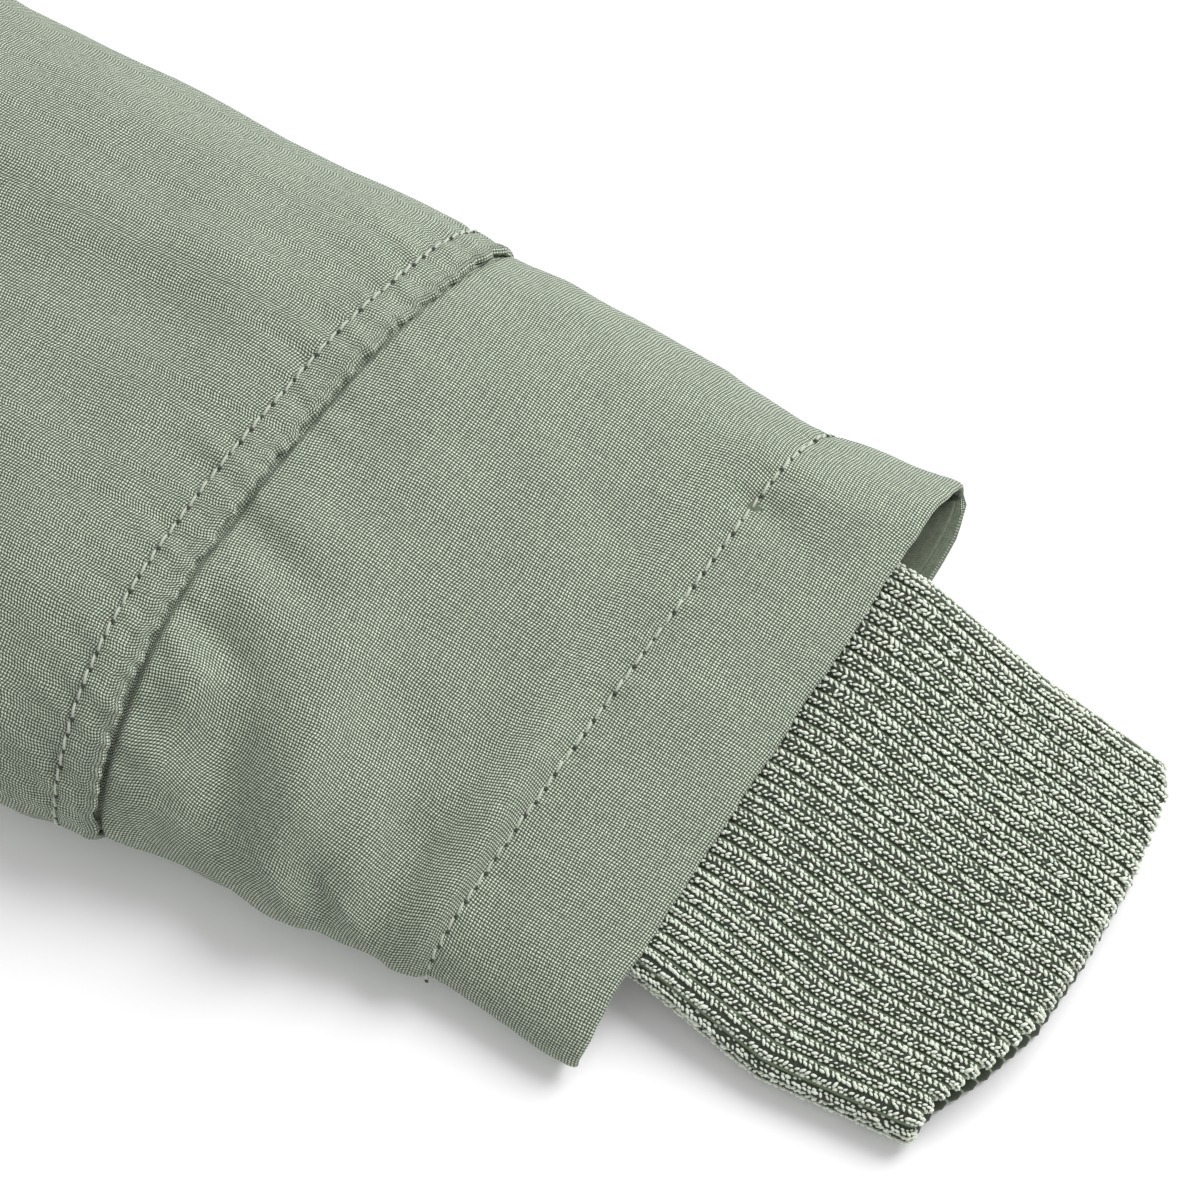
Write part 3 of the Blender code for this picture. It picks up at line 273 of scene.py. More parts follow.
@dataclass
class LaidForm:
    """Outline and heights of the two layers of cloth, from the garment's sizes."""

    body_length: float = 0.760
    neck_half: float = 0.088
    shoulder_tip: tuple = (0.225, 0.720)
    underarm: tuple = (0.275, 0.475)
    sleeve_heading: float = math.radians(42)
    sleeve_reach: float = 0.530
    out_of_square: float = 0.0040
    under_skew: float = 0.0065
    body_crown: float = 0.030
    hood_crown_rise: float = 0.014
    fold_height: float = 0.012
    hem_fold_height: float = 0.0042
    fold_reach: float = 0.045
    under_reach: float = 0.017
    hood_top: float = 1.100
    hood_strip_half: float = 0.055
    sleeve_outer: Table = (
        ("from_hem", "out"),
        (-0.0040, 0.0655),
        (0.010, 0.0634),
        (0.024, 0.0614),
        (0.050, 0.0629),
        (0.071, 0.0629),
        (0.090, 0.0624),
        (0.097, 0.0630),
        (0.147, 0.0642),
        (0.195, 0.0656),
        (0.250, 0.0725),
        (0.330, 0.0855),
        (0.420, 0.0990),
        (0.500, 0.1070),
        (0.560, 0.1030),
    )
    sleeve_inner: Table = (
        ("from_hem", "out"),
        (0.004, 0.0644),
        (0.019, 0.0632),
        (0.034, 0.0614),
        (0.040, 0.0640),
        (0.048, 0.0648),
        (0.067, 0.0664),
        (0.086, 0.0672),
        (0.092, 0.0684),
        (0.098, 0.0702),
        (0.106, 0.0712),
        (0.115, 0.0720),
        (0.160, 0.0735),
        (0.220, 0.0745),
        (0.320, 0.0752),
        (0.390, 0.0760),
    )
    sleeve_sections: Table = (
        ("from_hem", "crown", "tilt", "bow", "lean", "reach"),
        (0.000, 0.0165, 0.07, 0.0000, 0.70, 0.020),
        (0.031, 0.0225, 0.10, 0.0020, 0.80, 0.026),
        (0.060, 0.0310, 0.06, 0.0042, 1.20, 0.036),
        (0.095, 0.0385, 0.00, 0.0060, 1.50, 0.045),
        (0.200, 0.0385, 0.00, 0.0030, 1.00, 0.045),
        (0.300, 0.0365, 0.00, 0.0000, 1.00, 0.045),
        (0.450, 0.0300, 0.00, 0.0000, 1.00, 0.045),
    )
    side_seam: Table = (
        ("x", "y"),
        (0.286, 0.000),
        (0.282, 0.140),
        (0.274, 0.310),
        (0.271, 0.410),
    )
    armhole: Table = (
        ("x", "y"),
        (0.2480, 0.5150),
        (0.2290, 0.5700),
        (0.2215, 0.6350),
        (0.2235, 0.6950),
    )
    hood_outline: Table = (
        ("x", "y"),
        (0.104, 0.7900),
        (0.138, 0.8500),
        (0.157, 0.9200),
        (0.157, 0.9900),
        (0.137, 1.0480),
        (0.102, 1.0840),
    )
    folds: Table = (
        ("x", "y", "heading", "length", "width", "height"),
        (0.165, 0.560, 118, 0.30, 0.050, 0.0050),
        (0.110, 0.430, 100, 0.34, 0.060, 0.0040),
        (0.200, 0.300, 82, 0.30, 0.050, -0.0035),
        (-0.150, 0.540, 64, 0.32, 0.052, 0.0045),
        (-0.190, 0.380, 96, 0.34, 0.056, -0.0035),
        (-0.110, 0.240, 84, 0.30, 0.060, 0.0040),
        (0.130, 0.130, 94, 0.26, 0.060, 0.0035),
        (0.330, 0.530, 138, 0.26, 0.040, 0.0050),
        (0.420, 0.440, 141, 0.24, 0.036, -0.0040),
        (0.390, 0.520, 150, 0.20, 0.034, 0.0035),
        (-0.340, 0.540, 44, 0.26, 0.040, 0.0045),
        (-0.440, 0.420, 38, 0.24, 0.036, -0.0040),
        (-0.500, 0.400, 30, 0.18, 0.034, 0.0030),
    )
    sleeve_creases: Table = (
        ("from_hem", "out", "heading", "length", "width", "height"),
        (0.034, -0.048, 96, 0.034, 0.009, -0.0016),
        (0.048, -0.047, 70, 0.040, 0.009, -0.0018),
        (0.064, -0.043, 84, 0.036, 0.010, 0.0012),
        (0.082, -0.046, 62, 0.046, 0.010, -0.0022),
        (0.070, 0.012, 28, 0.100, 0.030, 0.0012),
        (0.045, -0.020, 118, 0.080, 0.022, -0.0010),
    )

    def __post_init__(self) -> None:
        """Works out the sleeve's axes and the fold lines."""
        heading = self.sleeve_heading
        self.to_hem = np.array([math.cos(heading), -math.sin(heading)])
        self.outward = np.array([math.sin(heading), math.cos(heading)])
        middle = (np.array(self.shoulder_tip) + np.array(self.underarm)) / 2
        self.hem_middle = middle + self.sleeve_reach * self.to_hem
        self.neck_point = np.array([self.neck_half, self.body_length])
        outer_points = self.from_sleeve(*rows(self.sleeve_outer).T)
        outer = smooth_path(np.vstack([outer_points, self.shoulder_tip, self.neck_point]))
        inner_points = self.from_sleeve(*(rows(self.sleeve_inner) * (1, -1)).T)
        self.inner_fold = smooth_path(np.vstack([inner_points, self.underarm]))
        tip = int(np.argmin(np.linalg.norm(outer - self.shoulder_tip, axis=1)))
        self.shoulder_fold = outer[tip:][::-1]
        self.outer_fold = outer[: tip + 1]
        self.side_fold = smooth_path(np.vstack([rows(self.side_seam), self.underarm]))
        crown_end = [[self.hood_strip_half, self.hood_top], [0, self.hood_top]]
        self.hood_fold = smooth_path(
            np.vstack([self.neck_point, rows(self.hood_outline), crown_end])
        )
        self.armhole_curve = smooth_path(
            np.vstack([self.underarm, rows(self.armhole), self.shoulder_tip])
        )
        self.section_path = smooth_path(rows(self.sleeve_sections))
        self.fold_lines = (
            np.vstack([outer, self.hood_fold[1:]]),
            np.vstack([self.side_fold, self.inner_fold[::-1][1:]]),
        )

    def from_sleeve(self, from_hem: Array, out: Array) -> Array:
        """Plan points of the +X sleeve, from distances up it and out from its axis."""
        from_hem, out = np.asarray(from_hem, float), np.asarray(out, float)
        return self.hem_middle - from_hem[..., None] * self.to_hem + out[..., None] * self.outward

    def to_sleeve(self, plan: Array) -> tuple[Array, Array]:
        """Distance up the sleeve and out from its axis, with either side taken as +X."""
        away = np.stack([np.abs(plan[..., 0]), plan[..., 1]], axis=-1) - self.hem_middle
        return -away @ self.to_hem, away @ self.outward

    def sleeve_value(self, column: str, from_hem: Array) -> Array:
        """A column of the table of sections, smoothly between its rows."""
        at = self.sleeve_sections[0].index(column)
        return np.interp(from_hem, self.section_path[:, 0], self.section_path[:, at])

    def on_sleeve(self, out: Array) -> Array:
        """1 within the sleeve's width of its axis, and 0 well away from it."""
        return 1 - smoothstep((np.abs(out) - 0.10) / 0.06)

    def fold_distance(self, plan: Array) -> tuple[Array, Array]:
        """How far plan points are from the nearest fold, and the direction in from it."""
        flat = np.asarray(plan, float).reshape(-1, 2)
        side = np.where(flat[:, 0] < 0, -1.0, 1.0)
        point = np.stack([np.abs(flat[:, 0]), flat[:, 1]], axis=1)
        best = np.full(len(point), np.inf)
        inward = np.zeros_like(point)
        for line in self.fold_lines:
            distance, off, nearest, _ = nearest_on(line, point)
            run = np.diff(line, axis=0)[nearest]
            left = unit(np.stack([-run[:, 1], run[:, 0]], axis=1))
            direction = np.where(
                distance[:, None] > 1e-5, off / np.maximum(distance, 1e-9)[:, None], left
            )
            closer = distance < best
            best = np.where(closer, distance, best)
            inward = np.where(closer[:, None], direction, inward)
        inward[:, 0] *= side
        shape = np.shape(plan)[:-1]
        return best.reshape(shape), inward.reshape(*shape, 2)

    def crown(self, plan: Array) -> Array:
        """Height of the upper layer away from its folds."""
        x, y = plan[..., 0], plan[..., 1]
        from_hem, out = self.to_sleeve(plan)
        section = self.sleeve_value("crown", from_hem)
        section = section + self.sleeve_value("tilt", from_hem) * np.clip(out, -0.045, 0.045)
        height = self.body_crown + (section - self.body_crown) * self.on_sleeve(out)
        in_hood = smoothstep((y - self.body_length + 0.02) / 0.10)
        height = height + self.hood_crown_rise * in_hood * (np.abs(x) < 0.25)
        by_zip = smoothstep((np.abs(x) - 0.020) / 0.030)
        height = height + ridge(x, y, self.folds) * by_zip
        near_sleeve = (np.abs(out) < 0.2) * (np.abs(x) > 0.35)
        return height + ridge(from_hem, out, self.sleeve_creases) * near_sleeve

    def edge_height(self, plan: Array) -> Array:
        """Height of the fold that is nearest to these points."""
        from_hem, out = self.to_sleeve(plan)
        at_end = (1 - smoothstep(from_hem / 0.10)) * self.on_sleeve(out)
        return self.fold_height + (self.hem_fold_height - self.fold_height) * at_end

    def edge_reach(self, plan: Array) -> Array:
        """How far in from the nearest fold the upper layer keeps rising."""
        from_hem, out = self.to_sleeve(plan)
        reach = self.sleeve_value("reach", from_hem)
        return self.fold_reach + (reach - self.fold_reach) * self.on_sleeve(out)

    def crown_slope(self, plan: Array, step: float = 0.0005) -> Array:
        """The crown's slope along X and along Y."""
        slopes = []
        for axis in np.eye(2) * step:
            slopes.append((self.crown(plan + axis) - self.crown(plan - axis)) / (2 * step))
        return np.stack(slopes, axis=-1)

    def upper(self, plan: Array) -> tuple[Array, Array]:
        """Points of the upper layer over a plan, and the directions out of it."""
        distance, inward = self.fold_distance(plan)
        edge, reach = self.edge_height(plan), self.edge_reach(plan)
        rise = self.crown(plan) - edge
        level = 1 - np.minimum(distance / reach, 1)
        sine = np.sqrt(1 - level**2)
        flat = -inward * (level / reach)[..., None]
        flat = flat - self.crown_slope(plan) * (sine**2 / rise)[..., None]
        outward = unit(np.concatenate([flat, (sine / rise)[..., None]], axis=-1))
        return np.concatenate([plan, (edge + rise * sine)[..., None]], axis=-1), outward

    def lower(self, plan: Array) -> tuple[Array, Array]:
        """Points of the lower layer over a plan, and the directions out of it."""
        distance, inward = self.fold_distance(plan)
        edge = self.edge_height(plan)
        level = 1 - np.minimum(distance / self.under_reach, 1)
        sine = np.sqrt(1 - level**2)
        flat = -inward * (level / self.under_reach)[..., None]
        outward = unit(np.concatenate([flat, -(sine / edge)[..., None]], axis=-1))
        return np.concatenate([plan, (edge * (1 - sine))[..., None]], axis=-1), outward

    def fold_point(self, line: Array, from_hem: Array) -> Array:
        """Points on a sleeve fold at these distances up the sleeve from its hem."""
        up, _ = self.to_sleeve(line)
        return np.stack([np.interp(from_hem, up, line[:, k]) for k in (0, 1)], axis=-1)

    def sleeve_ends(self, station: Array) -> tuple[Array, Array]:
        """Where a ring of the sleeve meets its outer and its inner fold."""
        outer = self.fold_point(self.outer_fold, station - self.out_of_square)
        return outer, self.fold_point(self.inner_fold, station + self.out_of_square)

    def ring_plan(
        self, ends: tuple[Array, Array], station: Array, share: Array
    ) -> tuple[Array, Array]:
        """Plan points on a sleeve's rings, over the upper layer and over the lower one.

        Args:
            ends: where each ring meets the outer and the inner fold.
            station: each ring's distance up the sleeve from its hem.
            share: how far across the ring each point is, from the outer fold.

        Returns:
            The points on the upper layer, and those on the lower one.
        """
        straight = ends[0] * (1 - share)[..., None] + ends[1] * share[..., None]
        leaning = share ** self.sleeve_value("lean", station)
        bow = self.sleeve_value("bow", station) * 4 * leaning * (1 - leaning)
        skew = self.under_skew * (1 - smoothstep(station / 0.12)) * (1 - 2 * share)
        under = straight + (skew * 2 * np.sqrt(share * (1 - share)))[..., None] * self.to_hem
        return straight - bow[..., None] * self.to_hem, under


# --- Meshes ---


def placed(name: str, data: bpy.types.ID) -> bpy.types.Object:
    """A new object with this data, in the scene."""
    made = bpy.data.objects.new(name, data)
    bpy.context.scene.collection.objects.link(made)
    return made


def joined(upper: Sequence[Array], lower: Sequence[Array]) -> list[Array]:
    """Columns of the upper layer and on through the lower one, from the fold that they share."""
    return [np.concatenate([over, under[:, 1:]], axis=1) for over, under in zip(upper, lower)]


@dataclass
class Draft:
    """Points, faces and pattern coordinates of one mesh, gathered grid by grid."""

    lift: float
    points: list = field(default_factory=list)
    marks: list = field(default_factory=list)
    faces: list = field(default_factory=list)
    inner_faces: list = field(default_factory=list)
    count: int = 0

    def add(self, grid: Array, marks: Array) -> Array:
        """Adds a grid of points with its pattern coordinates, and gives their numbers."""
        shape = grid.shape[:-1]
        size = int(np.prod(shape))
        self.points.append(grid.reshape(size, 3))
        self.marks.append(np.broadcast_to(marks, (*shape, 2)).reshape(size, 2))
        numbers = np.arange(self.count, self.count + size).reshape(shape)
        self.count += size
        return numbers

    def sheet(self, at: Array, turn: int, inner: bool = False) -> None:
        """Adds the faces of a grid of point numbers, turned over where turn is -1."""
        quads = np.stack([at[:-1, :-1], at[:-1, 1:], at[1:, 1:], at[1:, :-1]], axis=-1)
        first = len(self.faces)
        self.faces += quads.reshape(-1, 4)[:, ::turn].tolist()
        if inner:
            self.inner_faces += range(first, len(self.faces))

    def bridge(self, fine: Array, coarse: Array, turn: int) -> None:
        """Joins a row of points to one with half as many spaces."""
        for i, (c, d) in enumerate(zip(coarse[:-1], coarse[1:])):
            face = [*fine[2 * i : 2 * i + 3].tolist(), int(d), int(c)]
            self.faces.append(face[::turn])

    def build(self, name: str, side: int = 1) -> bpy.types.Object:
        """Makes the mesh object, with points at the same place joined.

        Args:
            name: the object's name.
            side: 1, or -1 for the mirror image on the wearer's right.

        Returns:
            The new object, with the pattern coordinates as its UV map.
        """
        points = np.vstack(self.points) * (side, 1, 1) + (0, self.lift, 0)
        faces = [face[::side] for face in self.faces]
        mesh = bpy.data.meshes.new(name)
        mesh.from_pydata(points.tolist(), [], faces)
        corners = np.zeros(len(mesh.loops), np.int32)
        mesh.loops.foreach_get("vertex_index", corners)
        layer = mesh.uv_layers.new(name="Pattern")
        layer.data.foreach_set("uv", np.vstack(self.marks)[corners].ravel())
        slots = np.zeros(len(faces), np.int32)
        slots[self.inner_faces] = 1
        mesh.polygons.foreach_set("material_index", slots)
        loose = bmesh.new()
        loose.from_mesh(mesh)
        bmesh.ops.remove_doubles(loose, verts=loose.verts, dist=SAME_PLACE)
        loose.to_mesh(mesh)
        loose.free()
        mesh.shade_smooth()
        return placed(name, mesh)


def arc_marks(grid: Array) -> Array:
    """Pattern coordinates of a grid: lengths along its rows and along its columns."""
    across = np.linalg.norm(np.diff(grid, axis=1), axis=-1).cumsum(axis=1)
    down = np.linalg.norm(np.diff(grid, axis=0), axis=-1).cumsum(axis=0)
    u = np.concatenate([np.zeros((len(grid), 1)), across], axis=1)
    v = np.concatenate([np.zeros((1, grid.shape[1])), down], axis=0)
    return np.stack([u - u[:, grid.shape[1] // 2 : grid.shape[1] // 2 + 1], v], axis=-1)


def rounded_rim(grid: Array, outward: Array, wall: float, steps: int = 4) -> tuple[Array, Array]:
    """Rows that carry a grid's first row round the edge of its cloth.

    Args:
        grid: points of the cloth's outer side, with the edge at row 0.
        outward: directions out of the cloth at those points.
        wall: thickness of the cloth.
        steps: rows round the half circle.

    Returns:
        The rows, from the inner side to the outer one, and each row's distance from row 0.
    """
    ahead = unit(grid[0] - grid[1])
    centre = grid[0] - outward[0] * wall / 2
    turns = np.linspace(math.pi, 0, steps + 1)[1:-1, None, None]
    out = np.cos(turns) * outward[0] + np.sin(turns) * ahead
    return centre + out * wall / 2, turns * wall / 2


def cloth_shell(
    draft: Draft,
    grid: Array,
    outward: Array,
    wall: float,
    rims: Sequence[str] = (),
    fine_rows: int = 0,
    marks: Array | None = None,
) -> None:
    """Adds a wall of cloth under a grid of points, with an inner side half as fine.

    A grid whose first and last columns meet is a tube, and has no walls at its sides.

    Args:
        draft: what the faces are added to.
        grid: points of the outer side, with an odd count each way.
        outward: directions out of the cloth at those points.
        wall: thickness of the cloth.
        rims: which of the first and the last row have rounded edges.
        fine_rows: how many rows keep all their columns, where the others keep half.
        marks: pattern coordinates of the points, if they aren't just their distances.
    """
    marks = arc_marks(grid) if marks is None else marks
    inner = draft.add((grid - outward * wall)[::2, ::2], marks[::2, ::2])
    outer_rows, mark_rows = [grid], [marks]
    if "first" in rims:
        rim, past = rounded_rim(grid, outward, wall)
        outer_rows.insert(0, rim)
        mark_rows.insert(0, marks[:1] - past * (0, 1))
    if "last" in rims:
        rim, past = rounded_rim(grid[::-1], outward[::-1], wall)
        outer_rows.append(rim[::-1])
        mark_rows.append(marks[-1:] + past[::-1] * (0, 1))
    outer, mark = np.concatenate(outer_rows), np.concatenate(mark_rows)
    first = len(outer_rows[0]) if "first" in rims else 0
    fine = first + fine_rows if fine_rows else len(outer)
    numbers = draft.add(outer[:fine], mark[:fine])
    middle = len(grid) // 2, grid.shape[1] // 2
    step_u = grid[middle[0], middle[1] + 1] - grid[middle]
    step_v = grid[middle[0] + 1, middle[1]] - grid[middle]
    turn = 1 if np.cross(step_u, step_v) @ outward[middle] > 0 else -1
    draft.sheet(numbers[: first // 2 + 1], turn, inner=True)
    draft.sheet(numbers[first // 2 :], turn)
    draft.sheet(inner, -turn, inner=True)
    draft.bridge(numbers[0], inner[0], -turn)
    edges = [numbers[:, 0], numbers[:, -1]]
    if fine_rows:
        coarse = draft.add(outer[fine:, ::2], mark[fine:, ::2])
        draft.bridge(numbers[-1], coarse[0], turn)
        draft.sheet(coarse, turn)
        draft.sheet(np.stack([coarse[-1], inner[-1]]), turn)
        edges = [np.concatenate([edge, coarse[:, at]]) for edge, at in zip(edges, (0, -1))]
    else:
        draft.bridge(numbers[-1], inner[-1], turn)
    if np.allclose(grid[:, 0], grid[:, -1], atol=1e-7):
        return
    for edge, column, way in zip(edges, (0, -1), (turn, -turn)):
        last = first + len(grid)
        draft.bridge(edge[first:last], inner[:, column], way)
        ends = (edge[: first + 1], inner[0, column]), (edge[last - 1 :], inner[-1, column])
        for rim, corner in ends:
            draft.faces += [
                [int(a), int(b), int(corner)][::way] for a, b in zip(rim[:-1], rim[1:])
            ]


def shell_piece(
    name: str,
    lift: float,
    shell: tuple[Array, Array, float],
    side: int = 1,
    rims: Sequence[str] = ("first",),
    **options,
) -> bpy.types.Object:
    """A piece that is one wall of cloth.

    Args:
        name: the object's name.
        lift: how far its points move along Y, from the design's place to the frame's.
        shell: points of the outer side, the directions out of the cloth and its thickness.
        side: 1, or -1 for the mirror image.
        rims: which of the first and the last row have rounded edges.
        **options: further arguments of cloth_shell.

    Returns:
        The object.
    """
    draft = Draft(lift)
    cloth_shell(draft, *shell, rims=rims, **options)
    return draft.build(name, side)


def finished(piece: bpy.types.Object, body: str, finish: "Finish", *nodes: str) -> None:
    """Dresses a piece, puts it on its body and hides the solids that it stands for."""
    if not piece.data.materials:
        # The shell's inner side gets the facing's material, painted darker as painted shade.
        inner = Finish.FACING_PAINTED_SHADE if finish is Finish.SHELL else finish
        for side in (finish, inner):
            piece.data.materials.append(side.material())
    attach(piece, body)
    if nodes:
        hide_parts(*nodes)
    LOG.info("%s: %d faces", piece.name, len(piece.data.polygons))


# --- Finishes ---


@dataclass
class NodeSheet:
    """Adds and links the nodes of one tree."""

    tree: bpy.types.NodeTree

    def add(self, kind: str, **settings) -> bpy.types.Node:
        """Adds a node with these settings."""
        node = self.tree.nodes.new(kind)
        for name, value in settings.items():
            setattr(node, name, value)
        return node

    def feed(self, socket, value) -> None:
        """Links a value to a socket, or sets it there."""
        if isinstance(value, bpy.types.NodeSocket):
            self.tree.links.new(value, socket)
        else:
            socket.default_value = value

    def fed(self, kind: str, inputs: dict, **settings):
        """The outputs of a new node with these inputs and settings."""
        node = self.add(kind, **settings)
        for label, value in inputs.items():
            self.feed(node.inputs[label], value)
        return node.outputs

    def math(self, operation: str, *inputs):
        """The result of a sum on these inputs."""
        return self.fed("ShaderNodeMath", dict(enumerate(inputs)), operation=operation)[0]

    def product(self, first, *others):
        """All of these numbers multiplied."""
        for value in others:
            first = self.math("MULTIPLY", first, value)
        return first

    def noise(self, vector, scale: float, detail: float = 2.0, roughness: float = 0.5):
        """A noise from 0 to 1 at these coordinates."""
        inputs = {"Vector": vector, "Scale": scale, "Detail": detail, "Roughness": roughness}
        return self.fed("ShaderNodeTexNoise", inputs)["Fac"]

    def stretched(self, vector, scale: tuple):
        """Coordinates scaled by different amounts each way."""
        return self.fed("ShaderNodeMapping", {"Vector": vector, "Scale": scale})[0]

    def ranged(self, value, low: float, high: float):
        """A value from 0 to 1 spread from low to high."""
        return self.math("MULTIPLY_ADD", value, high - low, low)

    def split(self, vector):
        """The three numbers of a vector."""
        return self.fed("ShaderNodeSeparateXYZ", {0: vector})

    def vector(self, x=0.0, z=0.0):
        """A vector across (x) and out of (z) the cloth."""
        return self.fed("ShaderNodeCombineXYZ", {0: x, 2: z})[0]


class Surface(NodeSheet):
    """The nodes of a new material, with its Principled BSDF."""

    def __init__(self, name: str, **constants) -> None:
        """Makes the material, with constants set on the shader's own sockets."""
        self.material = bpy.data.materials.new(name)
        self.material.use_nodes = True
        super().__init__(self.material.node_tree)
        self.inputs = self.tree.nodes["Principled BSDF"].inputs
        for label, value in constants.items():
            self.inputs[SOCKETS.get(label, label.capitalize())].default_value = value

    def pattern(self):
        """The piece's own pattern coordinates."""
        return self.add("ShaderNodeUVMap", uv_map="Pattern").outputs[0]

    def place(self):
        """Coordinates on the object."""
        return self.add("ShaderNodeTexCoord").outputs["Object"]

    def paint(self, colour: tuple, shade) -> None:
        """Colours the surface, lighter or darker by a shade."""
        tint = self.fed("ShaderNodeVectorMath", {0: colour, "Scale": shade}, operation="SCALE")
        self.feed(self.inputs["Base Color"], tint[0])

    def emboss(self, height, distance: float, strength: float) -> None:
        """Gives the surface a fine relief."""
        inputs = {"Strength": strength, "Distance": distance, "Height": height}
        self.feed(self.inputs["Normal"], self.fed("ShaderNodeBump", inputs)[0])


@dataclass(frozen=True)
class CanvasFinish:
    """Plain-woven cloth, washed, with uneven threads; the weave's gaps carry painted shadow and its
    crests painted highlight.
    """

    name: str = "sage_canvas"
    colour: tuple = (0.285, 0.328, 0.255)
    thread_pitch: float = 0.00057
    wander: float = 0.0006
    painted_gap_shadow: float = 0.0
    painted_crest_highlight: float = 2.60
    mottle: float = 0.07
    roughness: float = 0.78
    sheen: float = 0.12
    relief: float = 0.00024

    def weave(self, sheet: Surface, u, v):
        """Height of the weave from 0 to 1 at thread counts u and v."""
        over = sheet.math("ADD", sheet.math("FLOOR", u), sheet.math("FLOOR", v))
        over = sheet.math("FLOORED_MODULO", over, 2.0)
        waves = []
        for count in (u, v):
            share = sheet.math("MULTIPLY", sheet.math("FRACT", count), math.pi)
            waves.append(sheet.math("SINE", share))
        heights = []
        for own, crossing in (waves, waves[::-1]):
            width = sheet.math("POWER", own, 1.5)
            dive = sheet.ranged(crossing, 0.30, 1.0)
            heights.append(sheet.math("MULTIPLY", width, dive))
        warp = sheet.math("MULTIPLY", heights[0], over)
        weft = sheet.math("MULTIPLY", heights[1], sheet.math("SUBTRACT", 1.0, over))
        return sheet.math("ADD", warp, weft)

    def build(self) -> bpy.types.Material:
        """Makes the material, on the piece's own pattern coordinates."""
        constants = {"roughness": self.roughness, "sheen": self.sheen, "specular": 0.25}
        sheet = Surface(self.name, sheen_roughness=0.5, **constants)
        pattern = sheet.pattern()
        counts = []
        for length, scale in zip(sheet.split(pattern), (90.0, 63.0)):
            off = sheet.ranged(sheet.noise(pattern, scale), -self.wander, self.wander)
            counts.append(sheet.math("DIVIDE", sheet.math("ADD", length, off), self.thread_pitch))
        weave = self.weave(sheet, *counts)
        warp = sheet.noise(sheet.stretched(pattern, (1400, 90, 1)), 1.0, 3.0, 0.6)
        weft = sheet.noise(sheet.stretched(pattern, (90, 1400, 1)), 1.0, 3.0, 0.6)
        threads = sheet.math("ADD", warp, weft)
        slub = sheet.noise(pattern, 1.0 / (1.6 * self.thread_pitch), 1.0)
        cloudy = sheet.noise(pattern, 55.0, 4.0, 0.6)
        shade = sheet.product(
            # Painted shadow in the weave's gaps and painted highlight on its crests.
            sheet.ranged(weave, self.painted_gap_shadow, self.painted_crest_highlight),
            sheet.ranged(threads, 0.72, 1.06),
            sheet.ranged(slub, 0.60, 1.40),
            sheet.ranged(cloudy, 1 - self.mottle, 1 + self.mottle),
        )
        sheet.paint(self.colour, shade)
        fuzz = sheet.noise(pattern, 2600.0, 2.0, 0.6)
        sheet.emboss(sheet.math("ADD", weave, sheet.product(fuzz, 0.45)), self.relief, 1.0)
        return sheet.material


@dataclass(frozen=True)
class YarnFinish:
    """Yarn or thread: soft, with fine fibres and a little lustre."""

    name: str
    colour: tuple
    roughness: float = 0.6
    sheen: float = 0.15
    mottle: float = 0.10
    fibre: float = 5200.0
    relief: float = 0.00005
    valley_over_painted_shade: float = 1.0

    def build(self) -> bpy.types.Material:
        """Makes the material, on object coordinates, lighter in the ribs' valleys where a factor
        for them is given; the rib ground's dark colour elsewhere is painted shade.
        """
        sheet = Surface(self.name, roughness=self.roughness, sheen=self.sheen, specular=0.35)
        place = sheet.place()
        fibres = sheet.noise(place, self.fibre, 2.0, 0.6)
        cloudy = sheet.noise(place, 420.0, 3.0, 0.6)
        shade = sheet.product(
            sheet.ranged(fibres, 0.82, 1.18),
            sheet.ranged(cloudy, 1 - self.mottle, 1 + self.mottle),
        )
        # Valleys keep the yarn's own tone; the rest of the rib ground stays at its painted shade.
        if self.valley_over_painted_shade != 1:
            rib_count = sheet.split(sheet.pattern())[0]
            spread = {
                "Value": sheet.math("PINGPONG", sheet.math("ADD", rib_count, 0.5), 0.5),
                "From Min": 0.42,
                "From Max": 0.455,
                "To Min": 1.0,
                "To Max": self.valley_over_painted_shade,
            }
            valley = sheet.fed("ShaderNodeMapRange", spread, interpolation_type="SMOOTHSTEP")
            shade = sheet.product(shade, valley[0])
        sheet.paint(self.colour, shade)
        sheet.emboss(fibres, self.relief, 0.8)
        return sheet.material


@dataclass(frozen=True)
class MetalFinish:
    """Satin metal with fine brushing and uneven wear."""

    name: str = "dark_nickel"
    colour: tuple = (0.30, 0.30, 0.285)
    roughness: float = 0.34
    relief: float = 0.00003

    def build(self) -> bpy.types.Material:
        """Makes the material, on object coordinates."""
        sheet = Surface(self.name, metallic=1.0)
        place = sheet.place()
        brushed = sheet.noise(sheet.stretched(place, (6000, 500, 6000)), 1.0, 3.0, 0.6)
        worn = sheet.noise(place, 700.0, 3.0, 0.6)
        sheet.paint(self.colour, sheet.ranged(worn, 0.75, 1.25))
        rough = sheet.product(sheet.ranged(brushed, 0.7, 1.4), self.roughness)
        sheet.feed(sheet.inputs["Roughness"], rough)
        sheet.emboss(brushed, self.relief, 0.3)
        return sheet.material


@dataclass(frozen=True)
class TapeFinish:
    """Zip tape, woven in a fine herringbone, painted darker where the weave lies low as painted
    shade.
    """

    name: str = "sage_zip_tape"
    colour: tuple = (0.250, 0.290, 0.222)
    pitch: float = 0.0011
    relief: float = 0.0001

    def build(self) -> bpy.types.Material:
        """Makes the material, on object coordinates."""
        sheet = Surface(self.name, roughness=0.8)
        x, y, _ = sheet.split(sheet.place())
        zigzag = sheet.math("PINGPONG", sheet.math("DIVIDE", x, 4 * self.pitch), 0.5)
        slant = sheet.math("ADD", sheet.math("DIVIDE", y, self.pitch), zigzag)
        waves = sheet.math("SINE", sheet.product(slant, 2 * math.pi))
        height = sheet.ranged(waves, 0.5, 1.0)
        # Darker where the herringbone lies low: painted shade.
        sheet.paint(self.colour, sheet.ranged(height, 0.7, 1.1))
        sheet.emboss(height, self.relief, 0.7)
        return sheet.material


